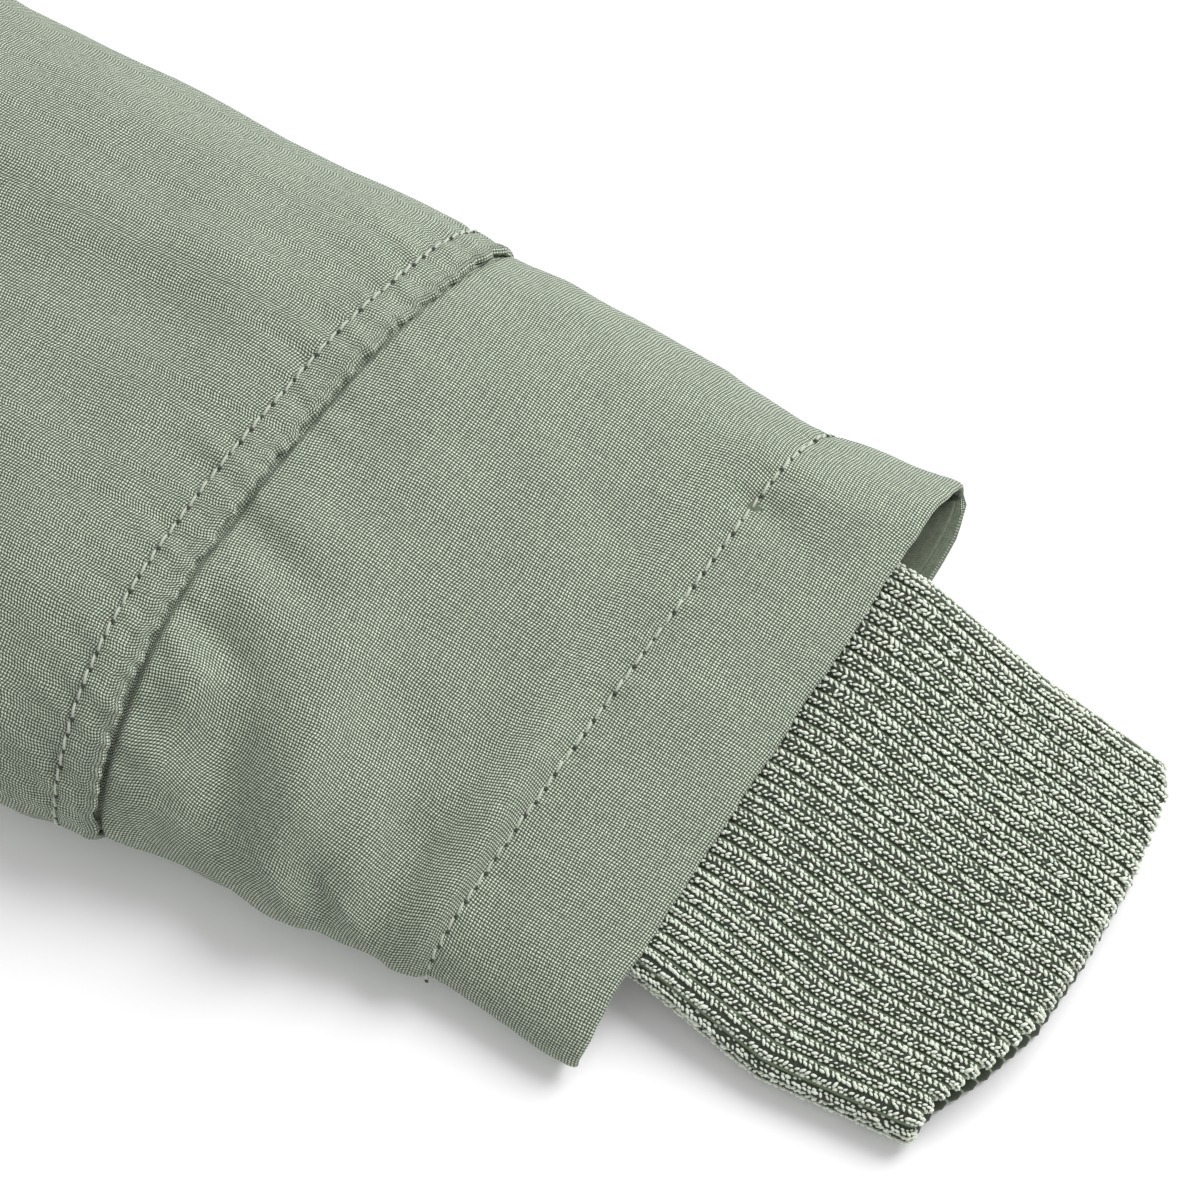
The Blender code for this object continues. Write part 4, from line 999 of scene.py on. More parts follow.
class Finish(Enum):
    """The garment's finishes, by the record's slot and what makes them."""

    SHELL = ("shell", CanvasFinish())
    # Hem facing and the inner side of the shell: the same sage cloth with a smoother weave, painted
    # darker as painted shade inside the garment.
    FACING_PAINTED_SHADE = (
        "facing",
        CanvasFinish(
            "sage_facing_painted_shade", (0.125, 0.148, 0.105), painted_gap_shadow=0.9, painted_crest_highlight=1.1, relief=0.00003
        ),
    )
    # Rib ground: near black as painted shade between the knitted legs, lighter in the valleys.
    RIB = (
        "rib",
        YarnFinish("sage_rib_ground_painted_shade", (0.055, 0.068, 0.046), roughness=0.9, valley_over_painted_shade=5.0),
    )
    # Knitted legs: partly the yarn's own colour, partly painted highlight, far lighter than the
    # cuff's tone.
    YARN = ("rib", YarnFinish("sage_rib_yarn_painted_highlight", (0.80, 0.86, 0.74), sheen=0.35, roughness=0.45))
    THREAD = ("shell", YarnFinish("sage_thread", (0.50, 0.54, 0.45), sheen=0.3))
    # Dark beads at the needle holes: painted shade.
    HOLE_SHADE = (
        "shell",
        YarnFinish("needle_hole_painted_shade", (0.060, 0.072, 0.052), sheen=0.0, roughness=0.9),
    )
    TAPE = ("tape", TapeFinish())
    METAL = ("zip_metal", MetalFinish())

    @property
    def slot(self) -> str:
        """The record's material slot."""
        return self.value[0]

    def material(self) -> bpy.types.Material:
        """The finish's material, made once."""
        return bpy.data.materials.get(self.value[1].name) or self.value[1].build()


# --- Sewing ---


class GroupSheet(NodeSheet):
    """A geometry node group whose inputs are set by name, through their identifiers."""

    def __init__(self, name: str, **kinds: str) -> None:
        """Makes the group, with its geometry sockets and an input for each name."""
        super().__init__(bpy.data.node_groups.new(name, "GeometryNodeTree"))
        for in_out in ("INPUT", "OUTPUT"):
            self.take("geometry", "Geometry", in_out)
        self.socket_ids = {label: self.take(label, kind) for label, kind in kinds.items()}
        self.given = self.add("NodeGroupInput").outputs

    def take(self, label: str, kind: str, in_out: str = "INPUT") -> str:
        """Adds a socket named after a label, and gives its identifier."""
        name = label.replace("_", " ").capitalize()
        sockets = self.tree.interface
        made = sockets.new_socket(name=name, in_out=in_out, socket_type=f"NodeSocket{kind}")
        return made.identifier

    def attribute(self, name: str):
        """A vector stored on the points under this name."""
        kind = "GeometryNodeInputNamedAttribute"
        return self.fed(kind, {"Name": name}, data_type="FLOAT_VECTOR")["Attribute"]

    def facing_rotation(self, along_it, facing):
        """A rotation whose X goes along a vector and whose Z faces out of the cloth."""
        kind = "FunctionNodeAlignRotationToVector"
        ahead = self.fed(kind, {"Vector": along_it}, axis="X")
        up = {"Rotation": ahead[0], "Vector": facing}
        return self.fed(kind, up, axis="Z", pivot_axis="X")[0]

    def steps(self):
        """Points at each pitch along the lines that the group is given."""
        line = self.fed("GeometryNodeMeshToCurve", {"Mesh": self.given["Geometry"]})
        spacing = {"Curve": line[0], "Length": self.given["Pitch"]}
        return self.fed("GeometryNodeResampleCurve", spacing, mode="LENGTH")[0]

    def laid(self, points, instance, placing: dict):
        """Instances at points, with their rotation and scale."""
        inputs = {"Points": points, "Instance": instance, **placing}
        return self.fed("GeometryNodeInstanceOnPoints", inputs)[0]

    def dressed(self, geometry, material, smooth: bool = True):
        """A mesh in this material."""
        shaded = self.fed("GeometryNodeSetShadeSmooth", {0: geometry, "Shade Smooth": smooth})
        inputs = {"Geometry": shaded[0], "Material": material}
        return self.fed("GeometryNodeSetMaterial", inputs)[0]

    def finish_with(self, instances, material=None, smooth: bool = True) -> None:
        """Ends the group with real meshes, in one material where it is given."""
        real = self.fed("GeometryNodeRealizeInstances", {0: instances})[0]
        made = self.dressed(real, material, smooth) if material else real
        self.feed(self.add("NodeGroupOutput").inputs[0], made)

    def applied_to(self, carrier: bpy.types.Object, name: str, **values) -> bpy.types.Object:
        """Runs the group on a carrier mesh and gives the result as a plain mesh object."""
        modifier = carrier.modifiers.new(name, "NODES")
        modifier.node_group = self.tree
        for label, value in values.items():
            modifier[self.socket_ids[label]] = value
        bpy.context.view_layer.update()
        evaluated = carrier.evaluated_get(bpy.context.evaluated_depsgraph_get())
        mesh = bpy.data.meshes.new_from_object(evaluated)
        mesh.name = name
        made = placed(name, mesh)
        old = carrier.data
        bpy.data.objects.remove(carrier)
        bpy.data.meshes.remove(old)
        return made


def carrier_mesh(
    name: str, lines: Sequence[tuple[Array, dict]], lift: float, edges: bool
) -> bpy.types.Object:
    """A mesh of bare points or lines that carries vectors for a node group.

    Args:
        name: the object's name.
        lines: each line's points and its named vectors.
        lift: how far the points move along Y, from the design's place to the frame's.
        edges: whether neighbouring points of a line are joined.

    Returns:
        The object.
    """
    points, links, start = [], [], 0
    for line, _ in lines:
        points += (line + (0, lift, 0)).tolist()
        if edges:
            links += [(start + i, start + i + 1) for i in range(len(line) - 1)]
        start += len(line)
    mesh = bpy.data.meshes.new(name)
    mesh.from_pydata(points, links, [])
    for label in lines[0][1]:
        values = np.vstack([vectors[label] for _, vectors in lines])
        stored = mesh.attributes.new(label, "FLOAT_VECTOR", "POINT")
        stored.data.foreach_set("vector", values.astype(np.float32).ravel())
    return placed(name, mesh)


@dataclass
class Sewing:
    """Lockstitches along lines on the cloth, with a dark bead of painted shade at each needle hole.
    """

    lift: float
    pitch: float = 0.0030
    length: float = 0.0026
    thread: float = 0.00027
    arch: float = 0.00040
    slant: float = math.radians(8)
    # Size of the dark bead at each needle hole, which is painted shade.
    hole: tuple = (0.00052, 0.00042, 0.00012)

    def __post_init__(self) -> None:
        """Builds the node group that lays a stitch at each step of a line, with a dark bead of
        painted shade at its needle hole.
        """
        sizes = dict.fromkeys(("pitch", "length", "thread", "arch", "slant"), "Float")
        looks = {"hole": "Vector", "material": "Material", "hole_material": "Material"}
        group = GroupSheet("Row of stitches", **sizes, seed="Int", **looks)
        given = group.given
        half = group.product(given["Length"], 0.5)
        depth = group.product(given["Thread"], -1.2)
        start, end = (group.vector(group.product(half, sign), depth) for sign in (-1.0, 1.0))
        top = group.vector(z=group.math("ADD", given["Arch"], given["Arch"]))
        bend = {"Resolution": 4, "Start": start, "Middle": top, "End": end}
        arc = group.fed("GeometryNodeCurveQuadraticBezier", bend)
        ring = {"Resolution": 5, "Radius": given["Thread"]}
        profile = group.fed("GeometryNodeCurvePrimitiveCircle", ring)
        swept = {"Curve": arc[0], "Profile Curve": profile[0], "Fill Caps": True}
        stitch = group.fed("GeometryNodeCurveToMesh", swept)
        tangent = group.add("GeometryNodeInputTangent").outputs[0]
        rotation = group.facing_rotation(tangent, group.attribute("facing"))
        spread = {2: -0.05, 3: 0.05, "Seed": given["Seed"]}
        uneven = group.fed("FunctionNodeRandomValue", spread, data_type="FLOAT")[1]
        turning = {"Axis": (0, 0, 1), "Angle": group.math("ADD", given["Slant"], uneven)}
        turn = group.fed("FunctionNodeAxisAngleToRotation", turning)
        both_turns = {0: rotation, 1: turn[0]}
        turned = group.fed("FunctionNodeRotateRotation", both_turns, rotation_space="LOCAL")
        # A dark bead sunk at each needle hole, as painted shade.
        bead = group.fed("GeometryNodeMeshIcoSphere", {"Subdivisions": 1})
        sinking = {
            "Geometry": bead["Mesh"],
            "Translation": group.vector(group.product(given["Pitch"], 0.5)),
            "Scale": given["Hole"],
        }
        sunk = group.fed("GeometryNodeTransform", sinking)
        both = group.add("GeometryNodeJoinGeometry")
        group.feed(both.inputs[0], group.dressed(sunk[0], given["Hole material"]))
        group.feed(both.inputs[0], group.dressed(stitch[0], given["Material"]))
        group.finish_with(group.laid(group.steps(), both.outputs[0], {"Rotation": turned[0]}))
        self.group = group

    def sew(self, name: str, lines: Sequence[tuple[Array, Array]], seed: int) -> None:
        """Sews along lines of points, given with the directions out of the cloth there."""
        carried = [(points, {"facing": facing}) for points, facing in lines]
        carrier = carrier_mesh(name + "_line", carried, self.lift, edges=True)
        made = self.group.applied_to(
            carrier,
            name,
            pitch=self.pitch,
            length=self.length,
            thread=self.thread,
            arch=self.arch,
            slant=self.slant,
            seed=seed,
            hole=self.hole,
            material=Finish.THREAD.material(),
            hole_material=Finish.HOLE_SHADE.material(),
        )
        finished(made, COAT, Finish.THREAD)


# --- Sleeves ---


@dataclass
class Sleeves:
    """Upper sleeves, forearms and hem facings, with their sewing."""

    form: LaidForm
    sewing: Sewing
    lift: float
    wall: float = 0.0012
    facing_wall: float = 0.0009
    forearm_seam: float = 0.0908
    band: float = 0.0074
    band_rise: float = 0.0008
    tuck: float = 0.0006
    seam_groove: float = 0.0012
    pucker_skew: float = 0.35
    hem_stitch: tuple = (0.0242, 0.0300)
    hem_stitch_bow: float = 0.0009
    facing_set_back: float = 0.0025
    facing_end: float = 0.029
    top_columns: int = 281
    under_columns: int = 41
    pucker_pitch: float = 0.0094
    nip_pitch: float = 0.0030
    nip: float = 0.00045
    nip_reach: float = 0.0012
    underarm_gap: float = 0.0024
    armhole_gap: float = 0.0003
    facing_gap: float = 0.00035
    hem_groove: float = 0.00055
    band_groove: float = 0.00060
    groove_width: float = 0.0010
    edge_roll: float = 0.00050
    band_slant: float = 0.00026
    pucker: float = 0.00085
    pucker_reach: float = 0.0055
    forearm_crumples: tuple = (Crumple(0.022, 0.00016, 11), Crumple(0.009, 0.00005, 12))
    upper_crumples: tuple = (Crumple(0.030, 0.00045, 21), Crumple(0.010, 0.00006, 22))
    fine_creases: Table = (
        ("from_hem", "out", "heading", "length", "width", "height"),
        (0.0775, -0.0520, 80, 0.034, 0.0105, -0.0026),
        (0.0655, -0.0490, 78, 0.036, 0.0105, 0.0036),
        (0.0886, -0.0526, 94, 0.026, 0.0080, 0.0014),
        (0.0440, -0.0440, 92, 0.042, 0.0080, -0.0026),
        (0.0362, -0.0420, 94, 0.046, 0.0080, 0.0044),
        (0.0514, -0.0510, 82, 0.026, 0.0080, 0.0013),
        (0.0558, -0.0616, 37, 0.018, 0.0060, -0.0015),
        (0.0610, -0.0636, 26, 0.012, 0.0020, 0.0007),
        (0.0504, -0.0616, 25, 0.013, 0.0020, 0.0007),
        (0.0878, -0.0100, 13, 0.024, 0.0090, 0.0008),
        (0.0880, -0.0180, 24, 0.020, 0.0080, -0.0013),
        (0.0892, -0.0262, 23, 0.017, 0.0085, 0.0010),
        (0.0892, -0.0360, 21, 0.016, 0.0070, -0.0014),
        (0.0900, -0.0432, 20, 0.015, 0.0070, 0.0009),
        (0.0900, -0.0520, 19, 0.014, 0.0070, -0.0013),
        (0.0174, 0.0448, 15, 0.018, 0.0090, 0.0009),
        (0.0200, 0.0354, 14, 0.019, 0.0080, -0.0012),
        (0.0560, 0.0200, 35, 0.060, 0.0160, 0.0006),
        (0.0300, -0.0100, 80, 0.050, 0.0140, -0.0004),
    )

    def __post_init__(self) -> None:
        """Works out the direction down the sleeve."""
        self.ahead = np.array([*self.form.to_hem, 0])

    def shares(self) -> tuple[Array, Array]:
        """Shares across the upper layer, and back across the lower one."""
        top, under = (
            (eased(count) + np.linspace(0, 1, count)) / 2
            for count in (self.top_columns, self.under_columns)
        )
        return top, under[::-1]

    def tube(
        self, plans: Callable[[Array, Array], tuple[Array, Array]], stations: Array
    ) -> tuple[Array, Array, Array, Array]:
        """Closed rings round a sleeve.

        Args:
            plans: gives the plan of the upper and the lower layer at stations and shares.
            stations: one for each ring.

        Returns:
            The points, the directions out, and each point's distance round its ring and
            distance up the sleeve.
        """
        top, under = self.shares()
        over = plans(*np.meshgrid(stations, top, indexing="ij"))[0]
        below = plans(*np.meshgrid(stations, under, indexing="ij"))[1]
        points, outward = joined(self.form.upper(over), self.form.lower(below))
        points[:, -1], outward[:, -1] = points[:, 0], outward[:, 0]
        girth = np.linalg.norm(np.diff(points, axis=1), axis=-1).cumsum(axis=1)
        girth = np.concatenate([np.zeros((len(points), 1)), girth], axis=1)
        return points, outward, girth, stations[:, None] + 0 * girth

    def forearm_plan(self, station: Array, share: Array) -> tuple[Array, Array]:
        """Plan of the forearm's upper and lower layer."""
        return self.form.ring_plan(self.form.sleeve_ends(station), station, share)

    def upper_tops(self) -> tuple[float, float, float]:
        """How far up from the hem the upper sleeve ends: outer fold, inner fold, middle."""
        corners = self.form.shoulder_tip, self.form.underarm
        outer, inner = (float(self.form.to_sleeve(np.array(at))[0]) for at in corners)
        inner -= self.underarm_gap
        return outer, inner, (outer + inner) / 2

    def upper_plan(self, station: Array, share: Array) -> tuple[Array, Array]:
        """Plan of the upper sleeve, whose rings turn into the armhole's curve."""
        form = self.form
        start = self.forearm_seam + 0.0082
        outer_top, inner_top, full = self.upper_tops()
        up = np.clip((station - start) / (full - start), 0, 1)
        skew = form.out_of_square
        at_outer = station - skew + (outer_top + skew - full) * up
        at_inner = station + skew + (inner_top - skew - full) * up
        outer_end = form.fold_point(form.outer_fold, at_outer)
        inner_end = form.fold_point(form.inner_fold, at_inner)
        over, under = form.ring_plan((outer_end, inner_end), station, share)
        curve = set_off(form.armhole_curve, -self.armhole_gap)[::-1]
        armhole = along(curve, share.ravel()).reshape(*share.shape, 2)
        last = form.fold_point(form.outer_fold, np.array(outer_top))
        first = form.fold_point(form.inner_fold, np.array(inner_top))
        bend = armhole - (last * (1 - share)[..., None] + first * share[..., None])
        bend *= smoothstep(np.minimum(share, 1 - share) / 0.01)[..., None]
        turned = bend * (up**2)[..., None]
        return over + turned, under + turned

    def creased(self, points: Array, outward: Array) -> Array:
        """Height of the sharper creases of the forearm, on its upper layer."""
        from_hem, out = self.form.to_sleeve(points[..., :2])
        on_top = smoothstep((outward[..., 2] + 0.45) / 0.6)
        return ridge(from_hem, out, self.fine_creases) * on_top

    def band_line(self, share: Array) -> Array:
        """Station of the band's row of stitches at shares across the sleeve."""
        return self.forearm_seam + self.band + 0 * share

    def hem_line(self, share: Array) -> Array:
        """Station of the hem's row of stitches at shares across the sleeve."""
        first, last = self.hem_stitch
        return first + (last - first) * share - self.hem_stitch_bow * 4 * share * (1 - share)

    def forearm_relief(self, station: Array, girth: Array, share: Array) -> Array:
        """Creases, puckers and stitch lines of the forearm."""
        below_seam = self.forearm_seam - station
        from_line = station - self.hem_line(share)
        gathers = uneven_wave(girth - self.pucker_skew * below_seam, self.pucker_pitch, 3)
        drawn = uneven_wave(girth - 0.4 * from_line, 0.0062, 5)
        height = sum(crumple.at(girth, station) for crumple in self.forearm_crumples)
        strength = (0.00022 + 0.00030 * smoothstep(share / 0.6)) * smoothstep(below_seam / 0.002)
        height += strength * fading(below_seam, 0.0070) * gathers
        height -= self.hem_groove * hump(from_line, self.groove_width)
        height += 0.00024 * fading(from_line, 0.0040) * drawn
        lower_half = smoothstep((share - 0.35) / 0.4)
        tuck = self.tuck * (1 + 0.9 * lower_half)
        height -= tuck * (1 - smoothstep(below_seam / (0.0008 + 0.0010 * lower_half)))
        height -= self.seam_groove * hump(below_seam - 0.0001, 0.0005)
        return height - 0.0008 * fading(station, 0.0022)

    def upper_relief(self, station: Array, girth: Array) -> Array:
        """Creases and puckers of the upper sleeve, and its pressed band."""
        from_edge = station - self.forearm_seam
        from_line = from_edge - self.band
        in_band = 1 - smoothstep((from_line + 0.0002) / 0.0012)
        slanted = uneven_wave(girth + self.pucker_skew * from_edge, 0.7 * self.pucker_pitch, 8)
        above = uneven_wave(girth + self.pucker_skew * from_line, self.pucker_pitch, 9)
        drawn_in = above * (0.7 + 0.5 * uneven_wave(girth, 0.041, 10))
        height = sum(crumple.at(girth, station) for crumple in self.upper_crumples)
        height += in_band * (self.band_rise + self.band_slant * slanted)
        height += self.edge_roll * hump(from_edge - 0.0014, 0.0010)
        height -= self.band_groove * hump(from_line, self.groove_width)
        height -= (1 - in_band) * self.pucker * fading(from_line, self.pucker_reach) * drawn_in
        return height - 0.0003 * fading(from_edge, 0.0008)

    def build_forearm(self, name: str, side: int) -> bpy.types.Object:
        """Forearm panel, with its turned hem edge."""
        rim = self.wall / 2
        end = self.forearm_seam + 0.0008
        stations = rim + spaced(end - rim, 0.0006, 0.0014, 0.00035)
        points, outward, girth, station = self.tube(self.forearm_plan, stations)
        relief = self.forearm_relief(station, girth, self.ring_shares()[None] + 0 * girth)
        points = moved(points, outward, relief * off_the_floor(outward))
        points = moved(points, outward, self.creased(points, outward))
        wave = 0.00030 * uneven_wave(girth, 0.021, 14) + 0.00010 * uneven_wave(girth, 0.006, 15)
        points = moved(points, self.ahead, wave * fading(station, 0.004))
        return shell_piece(name, self.lift, (points, outward, self.wall), side)

    def ring_shares(self) -> Array:
        """The share across the ring of each column of a tube."""
        top, under = self.shares()
        return np.concatenate([top, under[1:]])

    def build_upper(self, name: str, side: int) -> bpy.types.Object:
        """Upper sleeve, from its lapped edge over the forearm to the armhole."""
        rim = self.wall / 2
        start = self.forearm_seam + rim
        _, _, full = self.upper_tops()
        near = start + np.linspace(0, 0.0108, 17)
        far = near[-1] + spaced(full - near[-1], 0.0009, 0.0050, 0.0011)
        stations = np.concatenate([near, far[1:]])
        points, outward, girth, station = self.tube(self.upper_plan, stations)
        relief = self.upper_relief(station, girth)
        points = moved(points, outward, relief * off_the_floor(outward))
        nips = np.sin(math.pi * girth / self.nip_pitch) ** 2 - 0.5
        nips *= 0.8 + 0.7 * uneven_wave(girth, 0.011, 32)
        at_edge = fading(station - start, self.nip_reach)
        points = moved(points, outward, 0.00025 * nips * at_edge)
        nips = self.nip * (nips + uneven_wave(girth, 0.008, 31))
        points = moved(points, self.ahead, nips * at_edge)
        fine_rows = int(np.searchsorted(stations, start + 0.030))
        shell = points, outward, self.wall
        return shell_piece(name, self.lift, shell, side, fine_rows=fine_rows)

    def build_facing(self, name: str, side: int) -> bpy.types.Object:
        """Turned facing inside the sleeve hem, set back from its edge."""
        stations = np.linspace(self.facing_set_back, self.facing_end, 19)
        points, outward, girth, station = self.tube(self.forearm_plan, stations)
        depth = self.wall + self.facing_gap - 0.00015 * uneven_wave(girth, 0.016, 41)
        fold = 0.0008 * hump(station - self.facing_set_back, 0.0012)
        points = moved(points, outward, -(depth + fold))
        return shell_piece(name, self.lift, (points, outward, self.facing_wall), side)

    def stitch_ring(self, station_at: Callable[[Array], Array], side: int, in_upper: bool):
        """A line of points round the sleeve, for stitches.

        Args:
            station_at: the line's station at each share across the ring.
            side: 1, or -1 for the mirror image.
            in_upper: whether the line lies on the upper sleeve.

        Returns:
            The points and the directions out of the cloth, without the underside.
        """
        share = self.ring_shares()
        stations = station_at(share)
        plans = self.upper_plan if in_upper else self.forearm_plan
        over, below = plans(stations, share)
        upper, upper_out = self.form.upper(over)
        lower, lower_out = self.form.lower(below)
        on_top = np.arange(len(share)) < self.top_columns
        points = np.where(on_top[:, None], upper, lower)
        outward = np.where(on_top[:, None], upper_out, lower_out)
        girth = lengths_along(points)
        if in_upper:
            relief = self.upper_relief(stations, girth)
        else:
            relief = self.forearm_relief(stations, girth, share) + self.creased(points, outward)
        points = moved(points, outward, relief * off_the_floor(outward) + STITCH_RISE)
        shown = np.flatnonzero(outward[:, 2] > -0.75)
        order = np.roll(shown, -np.searchsorted(shown, self.top_columns + 5))
        mirror = np.array([side, 1, 1])
        return points[order] * mirror, outward[order] * mirror

    def build(self) -> None:
        """Makes both sleeves."""
        for word, side in SIDES:
            forearm = self.build_forearm(f"cloth_forearm_{word}", side)
            finished(forearm, COAT, Finish.SHELL, f"forearm_{word}")
            upper = self.build_upper(f"cloth_upper_sleeve_{word}", side)
            finished(upper, COAT, Finish.SHELL, f"upper_sleeve_{word}")
            facing = self.build_facing(f"cloth_sleeve_facing_{word}", side)
            finished(facing, COAT, Finish.FACING_PAINTED_SHADE, f"sleeve_facing_{word}")
            on_band = self.stitch_ring(self.band_line, side, True)
            on_hem = self.stitch_ring(self.hem_line, side, False)
            self.sewing.sew(f"stitches_sleeve_{word}", [on_band, on_hem], 50 + side)


# --- Body panels ---


@dataclass
class SeamWork:
    """A seam or turned edge on the plan, with its row of stitches and its puckers."""

    path: Array
    offset: float
    curl: float = 0.0
    groove: float = 0.00035
    pucker: float = 0.00035
    pitch: float = 0.0095
    seed: int = 1
    groove_width: float = 0.0016
    pucker_reach: float = 0.0065
    curl_width: float = 0.0030

    def relief(self, flat: Array) -> Array:
        """Height that the seam adds at a list of plan points."""
        distance, _, _, position = nearest_on(self.path, flat)
        from_line = distance - self.offset
        wave = uneven_wave(position + 0.5 * distance, self.pitch, self.seed)
        height = -self.curl * (1 - smoothstep(distance / self.curl_width))
        height -= self.groove * hump(from_line, self.groove_width)
        return height + self.pucker * fading(from_line, self.pucker_reach) * wave

    def stitch_line(self, inside: int) -> Array:
        """The plan of the row of stitches, on the left of the path where inside is 1."""
        return set_off(self.path, inside * self.offset)


def patch(bottom: Array, top: Array, left: Array, right: Array) -> Array:
    """A grid between four edges.

    Args:
        bottom: points of its first row, from left to right.
        top: points of its last row.
        left: points of its first column, from bottom to top.
        right: points of its last column.

    Returns:
        The grid's points.
    """
    v = (lengths_along(right) / lengths_along(right)[-1])[:, None, None]
    u = (lengths_along(bottom) / lengths_along(bottom)[-1])[None, :, None]
    straight = (
        (1 - v) * (1 - u) * bottom[0]
        + (1 - v) * u * bottom[-1]
        + v * (1 - u) * top[0]
        + v * u * top[-1]
    )
    across = (1 - v) * bottom[None] + v * top[None]
    return across + (1 - u) * left[:, None] + u * right[:, None] - straight


@dataclass
class Cloth:
    """What every panel of the body and the hood shares."""

    form: LaidForm
    sewing: Sewing
    lift: float
    wall: float = 0.0012
    front_edge: float = 0.0062
    front_neck_drop: float = 0.085
    back_neck_drop: float = 0.016
    seam_gap: float = 0.00015
    seam_curl: float = 0.0007
    crumples: tuple = (
        Crumple(0.120, 0.0011, 61),
        Crumple(0.046, 0.00050, 62),
        Crumple(0.020, 0.00014, 63),
    )
    front_neck: Table = (
        ("x", "y"),
        (0.0350, 0.6800),
        (0.0620, 0.6990),
        (0.0800, 0.7260),
    )

    def relief(self, plan: Array, seams: Sequence[SeamWork]) -> Array:
        """Creases of the cloth at plan points, with the work along the seams."""
        flat = plan.reshape(-1, 2)
        height = sum(crumple.at(flat[:, 0], flat[:, 1]) for crumple in self.crumples)
        mirrored_flat = np.abs(flat * (1, 0)) + flat * (0, 1)
        for seam in seams:
            height = height + seam.relief(mirrored_flat)
        return height.reshape(plan.shape[:-1])

    def over(self, plan: Array, seams: Sequence[SeamWork]) -> tuple[Array, Array]:
        """The creased upper layer over a plan, and the directions out of it."""
        points, outward = self.form.upper(plan)
        return moved(points, outward, self.relief(plan, seams)), outward

    def under(self, plan: Array, seams: Sequence[SeamWork]) -> tuple[Array, Array]:
        """The creased lower layer over a plan, and the directions out of it."""
        points, outward = self.form.lower(plan)
        height = self.relief(plan, seams) * off_the_floor(outward)
        return moved(points, outward, height), outward

    def part_at_fold(self, points: Array, plan: Array, way: int) -> Array:
        """Moves points on a fold up or down by half a seam's gap, and curls them in."""
        distance, inward = self.form.fold_distance(plan)
        near = np.maximum(0, 1 - distance / 0.004)
        parted = points.copy()
        parted[..., 2] += way * self.seam_gap * near
        parted[..., :2] += inward * (self.seam_curl * near**2)[..., None]
        return parted

    def sew_paths(
        self, name: str, paths: Sequence[Array], seams: Sequence[SeamWork], side: int, seed: int
    ) -> None:
        """Sews along paths of the plan, on the upper layer.

        Args:
            name: the stitches' name.
            paths: plan points at +X.
            seams: the seams that shape the cloth there.
            side: 1, or -1 for the mirror image.
            seed: of the stitches' unevenness.
        """
        lines = []
        for path in paths:
            points, outward = self.over(path * (side, 1), seams)
            lines.append((points + outward * STITCH_RISE, outward))
        self.sewing.sew(name, lines, seed)

    def front_neck_curve(self) -> Array:
        """The front neckline, from the zip to the neck point."""
        start = [self.front_edge, self.form.body_length - self.front_neck_drop]
        return smooth_path(np.vstack([start, rows(self.front_neck), self.form.neck_point]))

    def back_neck_curve(self) -> Array:
        """The back neckline, from the hood strip's seam to the neck point."""
        low = self.form.body_length - self.back_neck_drop
        return smooth_path(
            np.array([[self.form.hood_strip_half, low], [0.074, low + 0.005], self.form.neck_point])
        )


